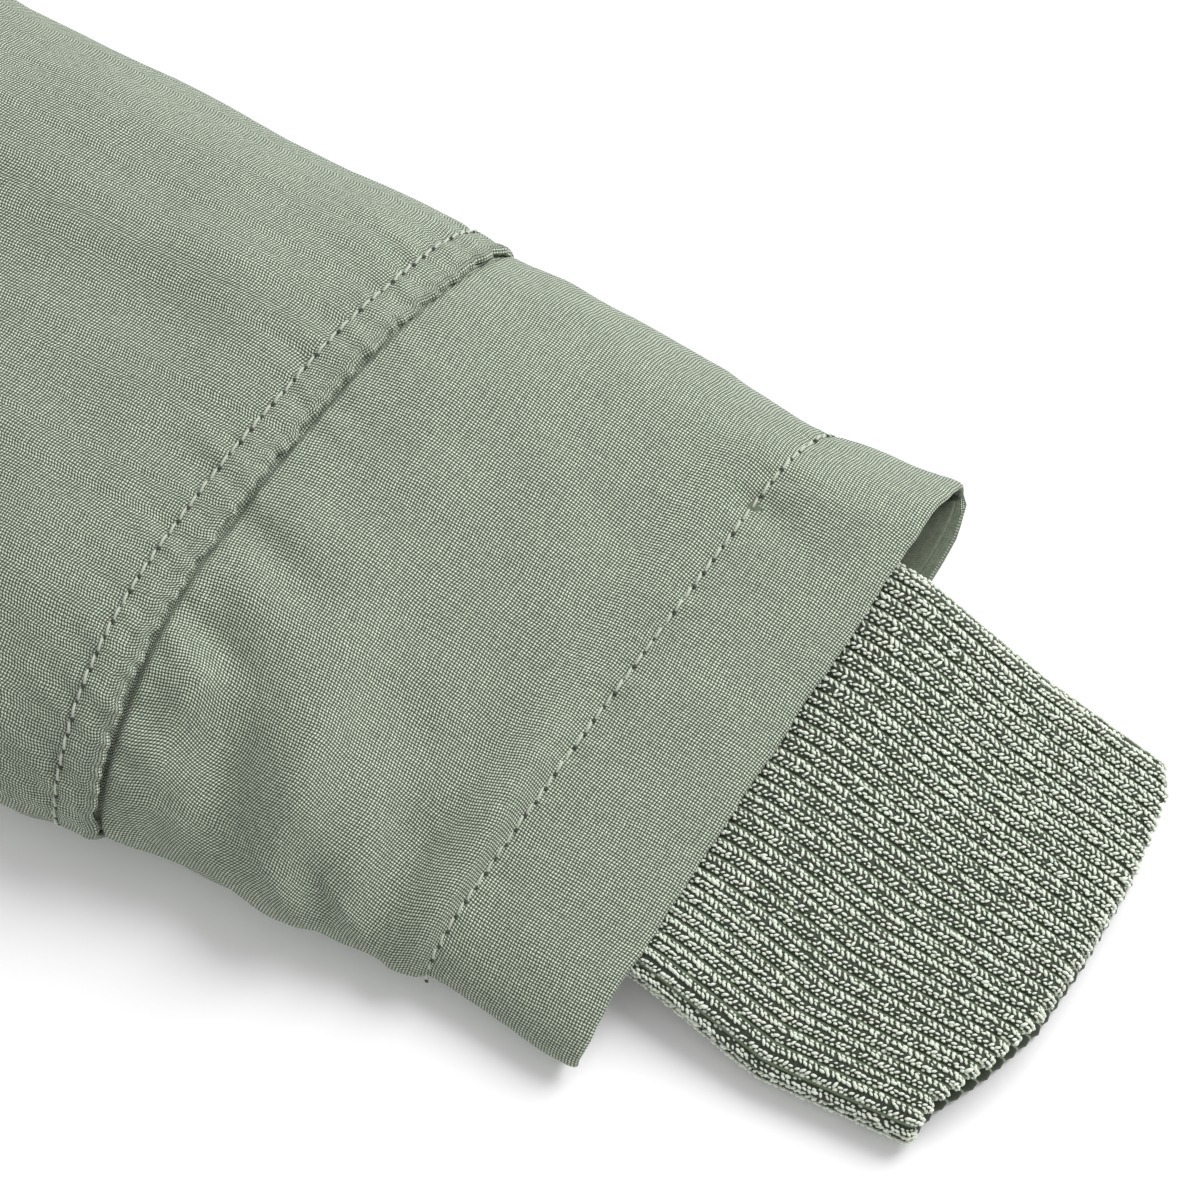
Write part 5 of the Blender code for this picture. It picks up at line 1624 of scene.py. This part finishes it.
@dataclass
class Body(Cloth):
    """Two front panels and the back."""

    hem_stitch: float = 0.029
    seam_stitch: float = 0.0065
    zip_stitch: float = 0.0070

    def __post_init__(self) -> None:
        """Works out the seams of a front."""
        form = self.form
        hem = np.array([[-0.01, 0.0], [0.30, 0.0]])
        edge = np.array([[self.front_edge, -0.01], [self.front_edge, 0.68]])
        self.hem = SeamWork(hem, self.hem_stitch, pitch=0.0080, seed=71)
        self.zip_edge = SeamWork(edge, self.zip_stitch, pitch=0.0125, pucker=0.0005, seed=72)
        self.neck = SeamWork(self.front_neck_curve(), self.seam_stitch, 0.0009, seed=73)
        self.armhole = SeamWork(form.armhole_curve, self.seam_stitch, 0.0009, seed=74)
        self.shoulder = SeamWork(form.shoulder_fold, self.seam_stitch, seed=75)
        self.seams = [self.hem, self.zip_edge, self.neck, self.armhole, self.shoulder]

    def half_plan(self, centre_x: float, neck: Array) -> Array:
        """Plan grid of half a body panel, from its centre line out to the side seam."""
        form = self.form
        side, arm = form.side_fold, form.armhole_curve
        side_length, arm_length = lengths_along(side)[-1], lengths_along(arm)[-1]
        up = through(spaced(side_length + arm_length, 0.0014, 0.0052, 0.0012), side_length)
        on_side = up <= side_length
        right = np.vstack(
            [
                along(side, up[on_side] / side_length),
                along(arm, (up[~on_side] - side_length) / arm_length),
            ]
        )
        right[0] = side[0]
        width = side[0, 0] - centre_x
        u = spaced(width, 0.0012, 0.0050, 0.0009) / width
        at_neck = 0.33
        u = through(u, at_neck)
        in_neck = u <= at_neck
        top = np.vstack(
            [
                along(neck, u[in_neck] / at_neck),
                along(form.shoulder_fold, (u[~in_neck] - at_neck) / (1 - at_neck)),
            ]
        )
        hem = np.stack([centre_x + width * u, 0 * u], axis=1)
        height = (right[:, 1] - right[0, 1]) / (right[-1, 1] - right[0, 1])
        left = np.stack([np.full(len(right), centre_x), height * neck[0, 1]], axis=1)
        return patch(hem, top, left, right)

    def build_front(self, name: str, side: int) -> bpy.types.Object:
        """A front panel, with its turned zip edge and hem."""
        plan = self.half_plan(self.front_edge, self.front_neck_curve()) * (side, 1)
        points, outward = self.over(plan, self.seams)
        points = self.part_at_fold(points, plan, 1)
        return shell_piece(name, self.lift, (points, outward, self.wall))

    def build_back(self) -> bpy.types.Object:
        """The back panel, flat on the floor, with its edges curling up to the seams."""
        low = self.form.body_length - self.back_neck_drop
        neck = np.vstack([[0, low], self.back_neck_curve()])
        half = self.half_plan(0.0, neck)
        plan = np.concatenate([half[:, :0:-1] * (-1, 1), half], axis=1)
        points, outward = self.under(plan, [self.hem, self.armhole])
        points = self.part_at_fold(points, plan, -1)
        return shell_piece("cloth_back", self.lift, (points, outward, self.wall))

    def sew(self, word: str, side: int) -> None:
        """The stitches of a front."""
        low, high = self.hem_stitch, self.form.body_length - self.front_neck_drop - 0.012
        hem = smooth_path(np.array([[self.front_edge + 0.002, low], [0.262, low]]))
        edge_x = self.front_edge + self.zip_stitch
        edge = smooth_path(np.array([[edge_x, 0.004], [edge_x, high]]))
        neck = self.neck.stitch_line(-1)[3:-2]
        armhole = self.armhole.stitch_line(1)[3:-3]
        shoulder = self.shoulder.stitch_line(-1)[2:-2]
        paths = hem, edge, neck, armhole, shoulder
        self.sew_paths(f"stitches_front_{word}", paths, self.seams, side, 60 + side)

    def build(self) -> None:
        """Makes the three panels."""
        back = self.build_back()
        finished(back, COAT, Finish.SHELL, "back")
        for word, side in SIDES:
            front = self.build_front(f"cloth_front_{word}", side)
            finished(front, COAT, Finish.SHELL, f"front_{word}")
            self.sew(word, side)


# --- Hood ---


@dataclass
class Hood(Cloth):
    """Two hood sides and the strip between them."""

    forehead: float = 1.018
    forehead_share: float = 0.81
    rim_stitch: float = 0.018
    seam_stitch: float = 0.0065
    hood_rim: Table = (
        ("x", "y"),
        (0.026, 0.7000),
        (0.058, 0.7450),
        (0.084, 0.8050),
        (0.097, 0.8750),
        (0.095, 0.9400),
        (0.079, 0.9950),
    )

    def __post_init__(self) -> None:
        """Works out the lines of a hood side."""
        form = self.form
        start = [self.front_edge, form.body_length - self.front_neck_drop]
        end = [form.hood_strip_half, self.forehead]
        self.rim = smooth_path(np.vstack([start, rows(self.hood_rim), end]))
        at_strip = int(np.argmin(np.abs(form.hood_fold[:, 0] - form.hood_strip_half)))
        self.outline = form.hood_fold[: at_strip + 1]
        self.top = form.hood_top - 0.0004
        seam = np.array([end, [form.hood_strip_half, self.top]])
        self.strip_seam = SeamWork(seam, self.seam_stitch, 0.0009, seed=81)
        self.neck = SeamWork(self.front_neck_curve(), self.seam_stitch, 0.0009, seed=82)
        self.rim_hem = SeamWork(self.rim, self.rim_stitch, pucker=0.0005, pitch=0.011, seed=83)
        self.seams = [self.strip_seam, self.neck, self.rim_hem]

    def side_plan(self) -> tuple[Array, Array]:
        """Plans of a hood side's upper and lower layer, row by row up from the neck."""
        form = self.form
        length = lengths_along(self.outline)[-1]
        s = through(spaced(length, 0.0012, 0.0048, 0.0015) / length, self.forehead_share)
        low = s <= self.forehead_share
        past = (s[~low] - self.forehead_share) / (1 - self.forehead_share)
        crown_y = self.forehead + (self.top - self.forehead) * past
        strip_x = np.full(len(s), form.hood_strip_half)
        upper = np.vstack(
            [
                along(self.rim, s[low] / self.forehead_share),
                np.stack([strip_x[: len(past)], crown_y], axis=1),
            ]
        )
        outer = along(self.outline, s)
        base = form.body_length - self.back_neck_drop
        under = np.stack([strip_x, base + (self.top - base) * s], axis=1)
        over_shares = (spaced(1.0, 0.012, 0.035, 0.008))[None, :, None]
        under_shares = (spaced(1.0, 0.008, 0.045, 0.030))[None, :, None]
        tops = upper[:, None] + (outer - upper)[:, None] * over_shares
        unders = outer[:, None] + (under - outer)[:, None] * under_shares
        fade = np.maximum(0, 1 - s / 0.14)[:, None, None] ** 3
        front = self.seam_side(along(self.front_neck_curve(), over_shares.ravel()))
        back = self.seam_side(along(self.back_neck_curve(), 1 - under_shares.ravel()[::-1]))
        back = back[::-1] if back[0, 0] < back[-1, 0] else back
        tops = tops + (front - tops[0]) * fade
        unders = unders + (back - unders[0]) * fade
        return tops, unders

    def seam_side(self, neck: Array) -> Array:
        """The hood's edge of the neck seam, straight up at the neck point."""
        gap = 2 * self.seam_gap
        edge = set_off(neck, gap)
        at_point = np.linalg.norm(neck - self.form.neck_point, axis=1).argmin()
        edge[at_point] = self.form.neck_point + (0, gap)
        return edge

    def build_side(self, name: str, side: int) -> bpy.types.Object:
        """A hood side: over the upper layer, round the fold and along the lower one."""
        tops, unders = (plan * (side, 1) for plan in self.side_plan())
        layers = joined(self.over(tops, self.seams), self.under(unders, []))
        shell = *(np.swapaxes(layer, 0, 1) for layer in layers), self.wall
        return shell_piece(name, self.lift, shell)

    def build_strip(self) -> bpy.types.Object:
        """The strip from the back neck up, over the crown and to the forehead."""
        form = self.form
        half = form.hood_strip_half - 2 * self.seam_gap
        across = half * np.linspace(-1, 1, 31)
        base = form.body_length - self.back_neck_drop + self.seam_gap
        low_y = base + spaced(self.top - base, 0.0030, 0.0065, 0.0012)
        high_y = form.hood_top - spaced(form.hood_top - self.forehead, 0.0008, 0.0040, 0.0010)
        edge = np.array([[half, base], [half, form.hood_top]])
        seam = SeamWork(edge, self.seam_stitch, 0.0009, seed=84)

        def plan(heights: Array) -> Array:
            """Plan points of the strip's rows at these heights along Y."""
            return np.stack(np.broadcast_arrays(across[None], heights[:, None]), axis=-1)

        lower, lower_out = self.under(plan(low_y[:-1]), [])
        upper, upper_out = self.over(plan(high_y), [seam])
        points = np.concatenate([lower, upper], axis=0)
        outward = np.concatenate([lower_out, upper_out], axis=0)
        if len(points) % 2 == 0:
            points, outward = np.delete(points, 1, axis=0), np.delete(outward, 1, axis=0)
        shell = points, outward, self.wall
        return shell_piece("cloth_hood_strip", self.lift, shell, rims=("last",))

    def sew(self, word: str, side: int) -> None:
        """The stitches of a hood side."""
        rim = set_off(self.rim, -self.rim_stitch)[12:-3]
        rim = rim[rim[:, 0] > self.front_edge + 0.02]
        seam_x = self.form.hood_strip_half + self.seam_stitch
        seam = smooth_path(np.array([[seam_x, self.forehead], [seam_x, self.top - 0.004]]))
        neck = set_off(self.front_neck_curve(), self.seam_stitch)[10:-6]
        self.sew_paths(f"stitches_hood_{word}", (rim, seam, neck), self.seams, side, 90 + side)

    def build(self) -> None:
        """Makes the hood's three pieces."""
        for word, side in SIDES:
            piece = self.build_side(f"cloth_hood_side_{word}", side)
            finished(piece, COAT, Finish.SHELL, f"hood_side_{word}")
            self.sew(word, side)
        strip = self.build_strip()
        finished(strip, COAT, Finish.SHELL, "hood_strip")


# --- Zip ---


@dataclass
class ZipFastener:
    """Woven tapes, interlocked teeth, and the metal pieces carried over from the solids."""

    form: LaidForm
    lift: float
    tape_half: float = 0.017
    tape_thick: float = 0.0010
    tape_top: float = 0.0281
    tape_ends: tuple = (0.003, 0.668)
    teeth_ends: tuple = (0.0128, 0.6612)
    tooth_pitch: float = 0.0026
    tooth_size: tuple = (0.00175, 0.00082, 0.00215)
    tooth_out: float = 0.00128

    def build_tape(self, name: str, side: int) -> bpy.types.Object:
        """A tape under a front's edge, with a cord along the teeth."""
        x = np.concatenate([[0.0003, 0.0006], np.linspace(0.0012, self.tape_half, 13)])
        y = np.linspace(*self.tape_ends, 221)
        grid = np.stack(np.broadcast_arrays(x[None] * side, y[:, None], self.tape_top), axis=-1)
        grid = grid.copy()
        free = smoothstep((x - 0.006) / 0.01)
        grid[..., 2] += 0.00012 * uneven_wave(y, 0.019, 95)[:, None] * free
        outward = np.zeros_like(grid)
        outward[..., 2] = 1
        return shell_piece(name, self.lift, (grid, outward, self.tape_thick), rims=())

    def tooth_group(self) -> GroupSheet:
        """The node group that sets a tooth at each step of a line."""
        group = GroupSheet("Row of zip teeth", pitch="Float", size="Vector", material="Material")
        shape = {"Vertices": 10, "Radius": 1.0, "Depth": 1.0}
        tooth = group.fed("GeometryNodeMeshCylinder", shape, fill_type="NGON")
        laid = group.laid(group.steps(), tooth["Mesh"], {"Scale": group.given["Size"]})
        group.finish_with(laid, group.given["Material"], smooth=False)
        return group

    def build(self) -> None:
        """Makes the tapes and the teeth, and gives the metal pieces their finish."""
        for word, side in SIDES:
            tape = self.build_tape(f"woven_zip_tape_{word}", side)
            finished(tape, COAT, Finish.TAPE, f"zip_tape_{word}")
        height = self.tape_top + 0.0003 + self.tooth_size[2] / 2
        low, high = self.teeth_ends
        lines = []
        for side in (-1, 1):
            shift = (1 + side) / 4 * self.tooth_pitch
            ends = low + shift, high + shift - self.tooth_pitch
            line = np.array([[side * self.tooth_out, end, height] for end in ends])
            lines.append((line, {"facing": np.array([[0, 0, 1.0]] * 2)}))
        carrier = carrier_mesh("teeth_line", lines, self.lift, edges=True)
        metal = Finish.METAL.material()
        sizes = {"pitch": self.tooth_pitch, "size": self.tooth_size}
        teeth = self.tooth_group().applied_to(carrier, "zip_teeth", **sizes, material=metal)
        finished(teeth, COAT, Finish.METAL, "zip_chain")
        for node in ("zip_box", "zip_stop_left", "zip_stop_right", "zip_slider", "pull_tab"):
            piece = bpy.data.objects[node]
            piece.data.materials.clear()
            piece.data.materials.append(metal)


# --- Rib cuffs ---


@dataclass
class RibCuffs:
    """Long inner cuffs in rib knit, with each knitted stitch laid on the ribs."""

    form: LaidForm
    lift: float
    turn: float = math.radians(7)
    out: float = 0.058
    root: float = 0.065
    wall: float = 0.0021
    sleeve_gap: float = 0.0027
    ribs: int = 27
    first_valley: float = 0.014
    side_radius: float = 0.0037
    side_half: float = 0.0425
    knit_inside: float = 0.005
    crown: float = 0.0032
    crown_place: float = -0.014
    relief: float = 0.0010
    scallop: float = 0.0009
    leg_shift: float = 0.00013
    stitch_pitch: float = 0.00102
    leg_spread: float = 0.165
    leg_lean: float = math.radians(30)
    leg_rise: float = 0.00026
    leg_size: tuple = (0.00060, 0.00027, 0.00034)
    side_spread: float = 0.335
    side_size: tuple = (0.74, 1.0, 0.95)
    rib_steps: int = 8
    uneven_place: float = 0.022
    uneven_out: float = 0.00009
    uneven_lean: float = 0.32
    uneven_rise: float = 0.00004
    uneven_size: float = 0.17
    sections: Table = (
        ("out", "half", "bulge", "bottom", "height", "relief", "sleeve_share", "tilt"),
        (-0.065, 0.0434, 0.0000, 0.0033, 0.0074, 0.0, 1.0, 0.000),
        (-0.050, 0.0455, 0.0000, 0.0033, 0.0080, 0.5, 0.4, 0.000),
        (-0.037, 0.0445, 0.0000, 0.0033, 0.0088, 1.0, 0.0, 0.030),
        (0.004, 0.0434, 0.0020, 0.0033, 0.0090, 1.0, 0.0, 0.045),
        (0.030, 0.0420, 0.0042, 0.0000, 0.0080, 1.0, 0.0, 0.010),
        (0.0565, 0.0408, 0.0005, 0.0000, 0.0074, 1.0, 0.0, 0.000),
        (0.058, 0.0404, 0.0005, 0.0002, 0.0070, 1.0, 0.0, 0.000),
    )
    cuff_end: Table = (
        ("share", "out"),
        (0.00, 0.0542),
        (0.06, 0.0574),
        (0.25, 0.0611),
        (0.47, 0.0628),
        (0.65, 0.0631),
        (0.80, 0.0603),
        (0.92, 0.0566),
        (1.00, 0.0562),
    )

    def __post_init__(self) -> None:
        """Works out the ribs' places and builds the node group that lays the stitches."""
        self.rib_share = (1 - 2 * self.first_valley) / self.ribs
        self.side_turn = self.side_angle(np.array(self.first_valley))
        self.group = self.stitch_group()

    def stitch_group(self) -> GroupSheet:
        """The node group that lays one leg of a knitted stitch at each point."""
        group = GroupSheet("Knitted legs", size="Vector", material="Material")
        leg = group.fed("GeometryNodeMeshIcoSphere", {"Subdivisions": 1})
        sizes = {0: group.given["Size"], 1: group.attribute("size")}
        size = group.fed("ShaderNodeVectorMath", sizes, operation="MULTIPLY")
        rotation = group.facing_rotation(group.attribute("along"), group.attribute("facing"))
        placing = {"Rotation": rotation, "Scale": size[0]}
        laid = group.laid(group.given["Geometry"], leg["Mesh"], placing)
        group.finish_with(laid, group.given["Material"])
        return group

    def side_angle(self, share: Array) -> Array:
        """How far round the cuff's rounded side a share across it lies."""
        inset = 2 * self.side_half * np.minimum(share, 1 - share)
        return np.arccos(1 - np.minimum(inset / self.side_radius, 1))

    def side_share(self, angle: Array) -> Array:
        """The share across the cuff at angles round its rounded side."""
        return self.side_radius * (1 - np.cos(angle)) / (2 * self.side_half)

    def rib(self, share: Array) -> Array:
        """Height of the ribs at shares across the cuff, from 0 in a valley to 1."""
        from_valley = np.abs((self.rib_count(share) + 0.5) % 1 - 0.5)
        cord = 0.34 * hump(from_valley, 0.062)
        return smoothstep((from_valley - 0.06) / 0.17) + cord

    def rib_count(self, share: Array) -> Array:
        """How many ribs in from the first valley a share across the cuff lies."""
        count = (share - self.first_valley) / self.rib_share
        on_side = self.side_angle(share) / self.side_turn
        count = np.where(share < self.first_valley, on_side - 1, count)
        return np.where(1 - share < self.first_valley, self.ribs + 1 - on_side, count)

    def surface(self, out: Array, share: Array, under: bool) -> tuple[Array, Array]:
        """Points of the cuff and the directions out of it.

        Args:
            out: distance out from the sleeve hem, on the cuff's straight sections.
            share: how far across the cuff, from its outer edge.
            under: whether the points are on its underside.

        Returns:
            The points and the directions.
        """
        table = rows(self.sections)
        half, bulge, bottom, height, relief, in_sleeve, tilt = (
            np.interp(out, table[:, 0], table[:, k]) for k in range(1, 8)
        )
        across = half * (1 - 2 * share)
        edge = height / 2
        level = 1 - np.minimum((half - np.abs(across)) / edge, 1)
        sine = np.sqrt(1 - level**2)
        way = -1 if under else 1
        outward = unit(np.stack([np.sign(across) * level, way * sine], axis=-1))
        section = np.stack([across, edge + way * (height - edge) * sine], axis=-1)
        depth = 0.35 + 0.65 * smoothstep(level / 0.5) if under else 1.0
        ribs = (self.rib(share) - 0.62) * relief * self.relief * depth
        section = section + outward * ribs[..., None]
        from_crown = across - self.crown_place
        reach_out = np.where(from_crown > 0, half - self.crown_place, half + self.crown_place)
        crowned = self.crown * (1 - (from_crown / reach_out) ** 2) * smoothstep((out + 0.01) / 0.03)
        section[..., 1] += bottom + (tilt * across + crowned) * (0 if under else 1) * sine
        section[..., 0] *= np.where(section[..., 0] < 0, 1 + bulge / half, 1)
        plan, aside = self.plan(out, share, section[..., 0], half)
        points = np.concatenate([plan, section[..., 1:]], axis=-1)
        out_3d = np.concatenate([outward[..., :1] * aside, outward[..., 1:]], axis=-1)
        root = self.root_points(np.maximum(-out, 0), share, under)
        points = points + (root - points) * in_sleeve[..., None]
        return points, unit(out_3d)

    def plan(
        self, out: Array, share: Array, across: Array, half: Array
    ) -> tuple[Array, Array]:
        """Plan of the cuff's points, which lie further out where its end does.

        Args:
            out: distance out from the sleeve hem, on the cuff's straight sections.
            share: how far across the cuff, from its outer edge.
            across: distance from the cuff's middle towards its outer edge.
            half: half the cuff's width.

        Returns:
            The plan points, and the direction across the cuff there.
        """
        turn = self.form.sleeve_heading + self.turn * smoothstep((out + 0.03) / 0.05)
        ahead = np.stack([np.cos(turn), -np.sin(turn)], axis=-1)
        aside = np.stack([np.sin(turn), np.cos(turn)], axis=-1)
        end_shares, end_reach = rows(self.cuff_end).T
        reach = np.interp((1 - across / half) / 2, end_shares, end_reach) / self.out
        rounding = smoothstep((out - self.out + 0.004) / 0.004)
        scallop = self.scallop * (self.rib(share) - 0.6) * rounding
        reach = np.where(out > 0, out * reach + scallop, out)[..., None]
        along_cuff = np.where((out > 0)[..., None], ahead, self.form.to_hem)
        return self.form.hem_middle + reach * along_cuff + across[..., None] * aside, aside

    def root_points(self, station: Array, share: Array, under: bool) -> Array:
        """Points just inside the sleeve's own section, where the cuff is sewn in."""
        turn = (1 - np.cos(math.pi * share)) / 2
        ends = self.form.sleeve_ends(station)
        plan = ends[0] * (1 - turn)[..., None] + ends[1] * turn[..., None]
        points, outward = self.form.lower(plan) if under else self.form.upper(plan)
        return points - outward * self.sleeve_gap

    def shares(self) -> tuple[Array, Array]:
        """Shares across the top, an even count to a rib, and back underneath."""
        side = self.side_share(np.linspace(0, self.side_turn, 7)[:-1])
        count = self.rib_steps * self.ribs + 1
        ribs = np.linspace(self.first_valley, 1 - self.first_valley, count)
        flat = np.linspace(self.first_valley, 1 - self.first_valley, 2 * self.ribs + 1)
        top, under = (np.concatenate([side, middle, 1 - side[::-1]]) for middle in (ribs, flat))
        return top, under[::-1]

    def build_cuff(self, name: str, side: int) -> bpy.types.Object:
        """The ribbed tube of the cuff, with its knitted end rounded over."""
        last = self.out - self.wall / 2
        shown = last - spaced(last + 0.012, 0.0008, 0.0024, 0.0024)
        stations = np.concatenate([shown, np.linspace(-0.012, -self.root, 15)[1:]])
        top, under = self.shares()
        above = self.surface(*np.meshgrid(stations, top, indexing="ij"), False)
        below = self.surface(*np.meshgrid(stations, under, indexing="ij"), True)
        points, outward = joined(above, below)
        points[:, -1], outward[:, -1] = points[:, 0], outward[:, 0]
        count, out = np.meshgrid(self.rib_count(np.concatenate([top, under[1:]])), stations)
        marks = np.stack([count, out], axis=-1)
        return shell_piece(name, self.lift, (points, outward, self.wall), side, marks=marks)

    def columns(self, spread: float) -> list[tuple[Array, bool, float]]:
        """Where the columns of stitches run across the cuff.

        Args:
            spread: the columns' place from the middle of each rib, as a share of the rib.

        Returns:
            Shares across the cuff, whether they are on its underside, and which way the
            shares run there from the rib's middle.
        """
        crest = self.first_valley + self.rib_share * (np.arange(self.ribs) + 0.5 + spread)
        near = self.side_share(self.side_turn * np.array([0.5 + spread]))
        far = 1 - self.side_share(self.side_turn * np.array([0.5 - spread]))
        return [
            (np.concatenate([near, crest, far]), False, 1.0),
            (np.concatenate([near, far]), True, -1.0),
        ]

    def legs(
        self, column: tuple, lean: float, random: np.random.Generator
    ) -> tuple[Array, Array, Array, Array]:
        """The legs of the knitted stitches in columns on one side of every rib.

        Args:
            column: what the method columns gives.
            lean: 1 or -1 for the legs on a crest, less for those at its side.
            random: where their unevenness is drawn from.

        Returns:
            Their places, the directions along them and out of the cuff, and their sizes.
        """
        shares, under, way = column
        on_crest = abs(lean) == 1
        last = self.out - self.wall / 2
        steps = int((self.out + self.knit_inside) / self.stitch_pitch)
        out = last - self.stitch_pitch * np.arange(steps)
        share = shares[:, None] + 0 * out
        share = share + self.rib_share * random.normal(0, self.uneven_place, share.shape)
        share = np.clip(share, 0, 1)
        at = out[None] + 0 * share + lean * self.leg_shift
        at = at - (0 if on_crest else self.stitch_pitch / 2)
        at = np.minimum(at + random.normal(0, self.uneven_out, at.shape), last)
        points, facing = self.surface(at, share, under)
        inner, _ = self.surface(at - 0.0008, share, under)
        run = unit(points - inner)
        rim = self.rim_rows(points[:, :1], facing[:, :1], run[:, :1])
        points, facing, run = (
            np.concatenate(pair, axis=1) for pair in zip(rim, (points, facing, run))
        )
        aside = unit(np.cross(facing, run))
        slope = self.leg_lean + random.normal(0, self.uneven_lean, points.shape[:2])
        slope = (way * lean * slope)[..., None]
        direction = run * np.cos(slope) + aside * np.sin(slope)
        tilt = unit(facing - 0.35 * way * np.sign(lean) * aside)
        rise = self.leg_rise + random.normal(0, self.uneven_rise, points.shape[:2])
        points = moved(points, facing, rise * (1 if on_crest else 0.9))
        size = random.normal(1, self.uneven_size, (*points.shape[:2], 1)) * np.ones(3)
        return points, direction, tilt, size * ((1, 1, 1) if on_crest else self.side_size)

    def leg_lines(self, side: int) -> list[tuple[Array, dict]]:
        """Where each leg of each knitted stitch lies, which way it runs and faces."""
        random = np.random.default_rng(5)
        leg, edge = self.leg_spread, self.side_spread
        return [
            self.carried(*self.legs(column, lean, random), side)
            for lean, spread in ((-1, -leg), (1, leg), (-0.3, -edge), (0.3, edge))
            for column in self.columns(spread)
        ]

    def rim_rows(self, points: Array, facing: Array, run: Array) -> tuple[Array, Array, Array]:
        """Rows of stitches round the cuff's knitted end, from its underside up."""
        half = self.wall / 2
        turns = np.radians([150, 112, 74, 37])[:, None]
        facing_round = np.cos(turns) * facing + np.sin(turns) * run
        run_round = np.cos(turns) * run - np.sin(turns) * facing
        return points - half * facing + half * facing_round, facing_round, run_round

    def carried(
        self, points: Array, direction: Array, tilt: Array, size: Array, side: int
    ) -> tuple[Array, dict]:
        """A line's points and vectors as lists, for either side of the garment.

        Args:
            points: places of the legs.
            direction: the way that each leg runs.
            tilt: the way that each leg faces.
            size: share of the usual size, each way.
            side: 1, or -1 for the mirror image.

        Returns:
            The points, and the vectors by their names.
        """
        mirror = np.array([side, 1, 1])
        vectors = {"along": direction * mirror, "facing": tilt * mirror, "size": size}
        return points.reshape(-1, 3) * mirror, {k: v.reshape(-1, 3) for k, v in vectors.items()}

    def build(self) -> None:
        """Makes both cuffs."""
        for word, side in SIDES:
            cuff = self.build_cuff(f"knit_rib_cuff_{word}", side)
            finished(cuff, COAT, Finish.RIB, f"rib_cuff_{word}")
            carrier = carrier_mesh(
                f"knit_points_{word}", self.leg_lines(side), self.lift, edges=False
            )
            legs = self.group.applied_to(
                carrier,
                f"knit_stitches_{word}",
                size=self.leg_size,
                material=Finish.YARN.material(),
            )
            finished(legs, COAT, Finish.YARN)


# --- Studio ---


@dataclass
class Studio:
    """White floor, soft light from behind and above, and the camera over the sleeve's end."""

    form: LaidForm
    lift: float
    azimuth: float = math.radians(13)
    elevation: float = math.radians(65)
    lens: float = 135.0
    sensor: float = 36.0
    frame_width: float = 0.214
    view_centre: tuple = (0.62217, 0.28433, 0.0)
    floor_half: float = 6.0
    floor_drop: float = 0.0003
    key_offset: tuple = (0.70, 0.26, 0.88)
    key_size: float = 0.72
    key_power: float = 12.6
    surround: float = 0.54

    def camera(self) -> None:
        """Places the camera at the photograph's angle to the floor."""
        data = bpy.data.cameras.new("camera")
        data.lens = self.lens
        data.sensor_width = self.sensor
        data.clip_start, data.clip_end = 0.05, 20
        made = placed("camera", data)
        ahead = np.array(
            [
                math.sin(self.azimuth) * math.cos(self.elevation),
                math.cos(self.azimuth) * math.cos(self.elevation),
                -math.sin(self.elevation),
            ]
        )
        centre = np.array(self.view_centre) + (0, self.lift, 0)
        made.location = centre - ahead * self.frame_width * self.lens / self.sensor
        made.rotation_euler = (math.pi / 2 - self.elevation, 0, -self.azimuth)
        bpy.context.scene.camera = made

    def floor(self) -> None:
        """A wide white floor just under the garment."""
        half, down = self.floor_half, -self.floor_drop
        mesh = bpy.data.meshes.new("floor")
        turns = ((-1, -1), (1, -1), (1, 1), (-1, 1))
        mesh.from_pydata([(half * x, half * y, down) for x, y in turns], [], [(0, 1, 2, 3)])
        made = placed("floor", mesh)
        glow = {"glow": (1, 1, 1, 1), "glow_strength": 0.06}
        white = {"base": (0.94, 0.94, 0.945, 1), "roughness": 0.9, "specular": 0.1}
        mesh.materials.append(Surface("white_floor", **white, **glow).material)

    def area_light(self, name: str, place: Array, aim: Array, size: float, power: float) -> None:
        """A square soft light.

        Args:
            name: the light's name.
            place: where it stands.
            aim: the point that it faces.
            size: length of its sides.
            power: in watts.
        """
        data = bpy.data.lights.new(name, "AREA")
        data.size, data.energy = size, power
        made = placed(name, data)
        made.location = place
        toward = Vector(aim) - Vector(place)
        made.rotation_euler = toward.to_track_quat("-Z", "Y").to_euler()

    def lights(self) -> None:
        """A large soft light behind and above, and an even white surround."""
        centre = np.array(self.view_centre) + (0, self.lift, 0)
        key = centre + self.key_offset
        self.area_light("key_light", key, centre, self.key_size, self.key_power)
        world = bpy.data.worlds.new("surround")
        world.use_nodes = True
        background = world.node_tree.nodes["Background"]
        background.inputs["Color"].default_value = (1, 1, 1, 1)
        background.inputs["Strength"].default_value = self.surround
        bpy.context.scene.world = world
        bpy.context.scene.view_settings.view_transform = "Standard"

    def build(self) -> None:
        """Sets up the floor, the lights and the camera."""
        self.camera()
        self.floor()
        self.lights()


def main() -> None:
    """Loads the frame, dresses the garment and sets up the studio."""
    logging.basicConfig(level=logging.INFO, format="%(message)s")
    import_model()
    form = LaidForm()
    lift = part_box("zip_tape_left")[0][1] - ZipFastener.tape_ends[0]
    sewing = Sewing(lift)
    Body(form, sewing, lift).build()
    Hood(form, sewing, lift).build()
    ZipFastener(form, lift).build()
    Sleeves(form, sewing, lift).build()
    RibCuffs(form, lift).build()
    Studio(form, lift).build()


if __name__ == "__main__":
    main()
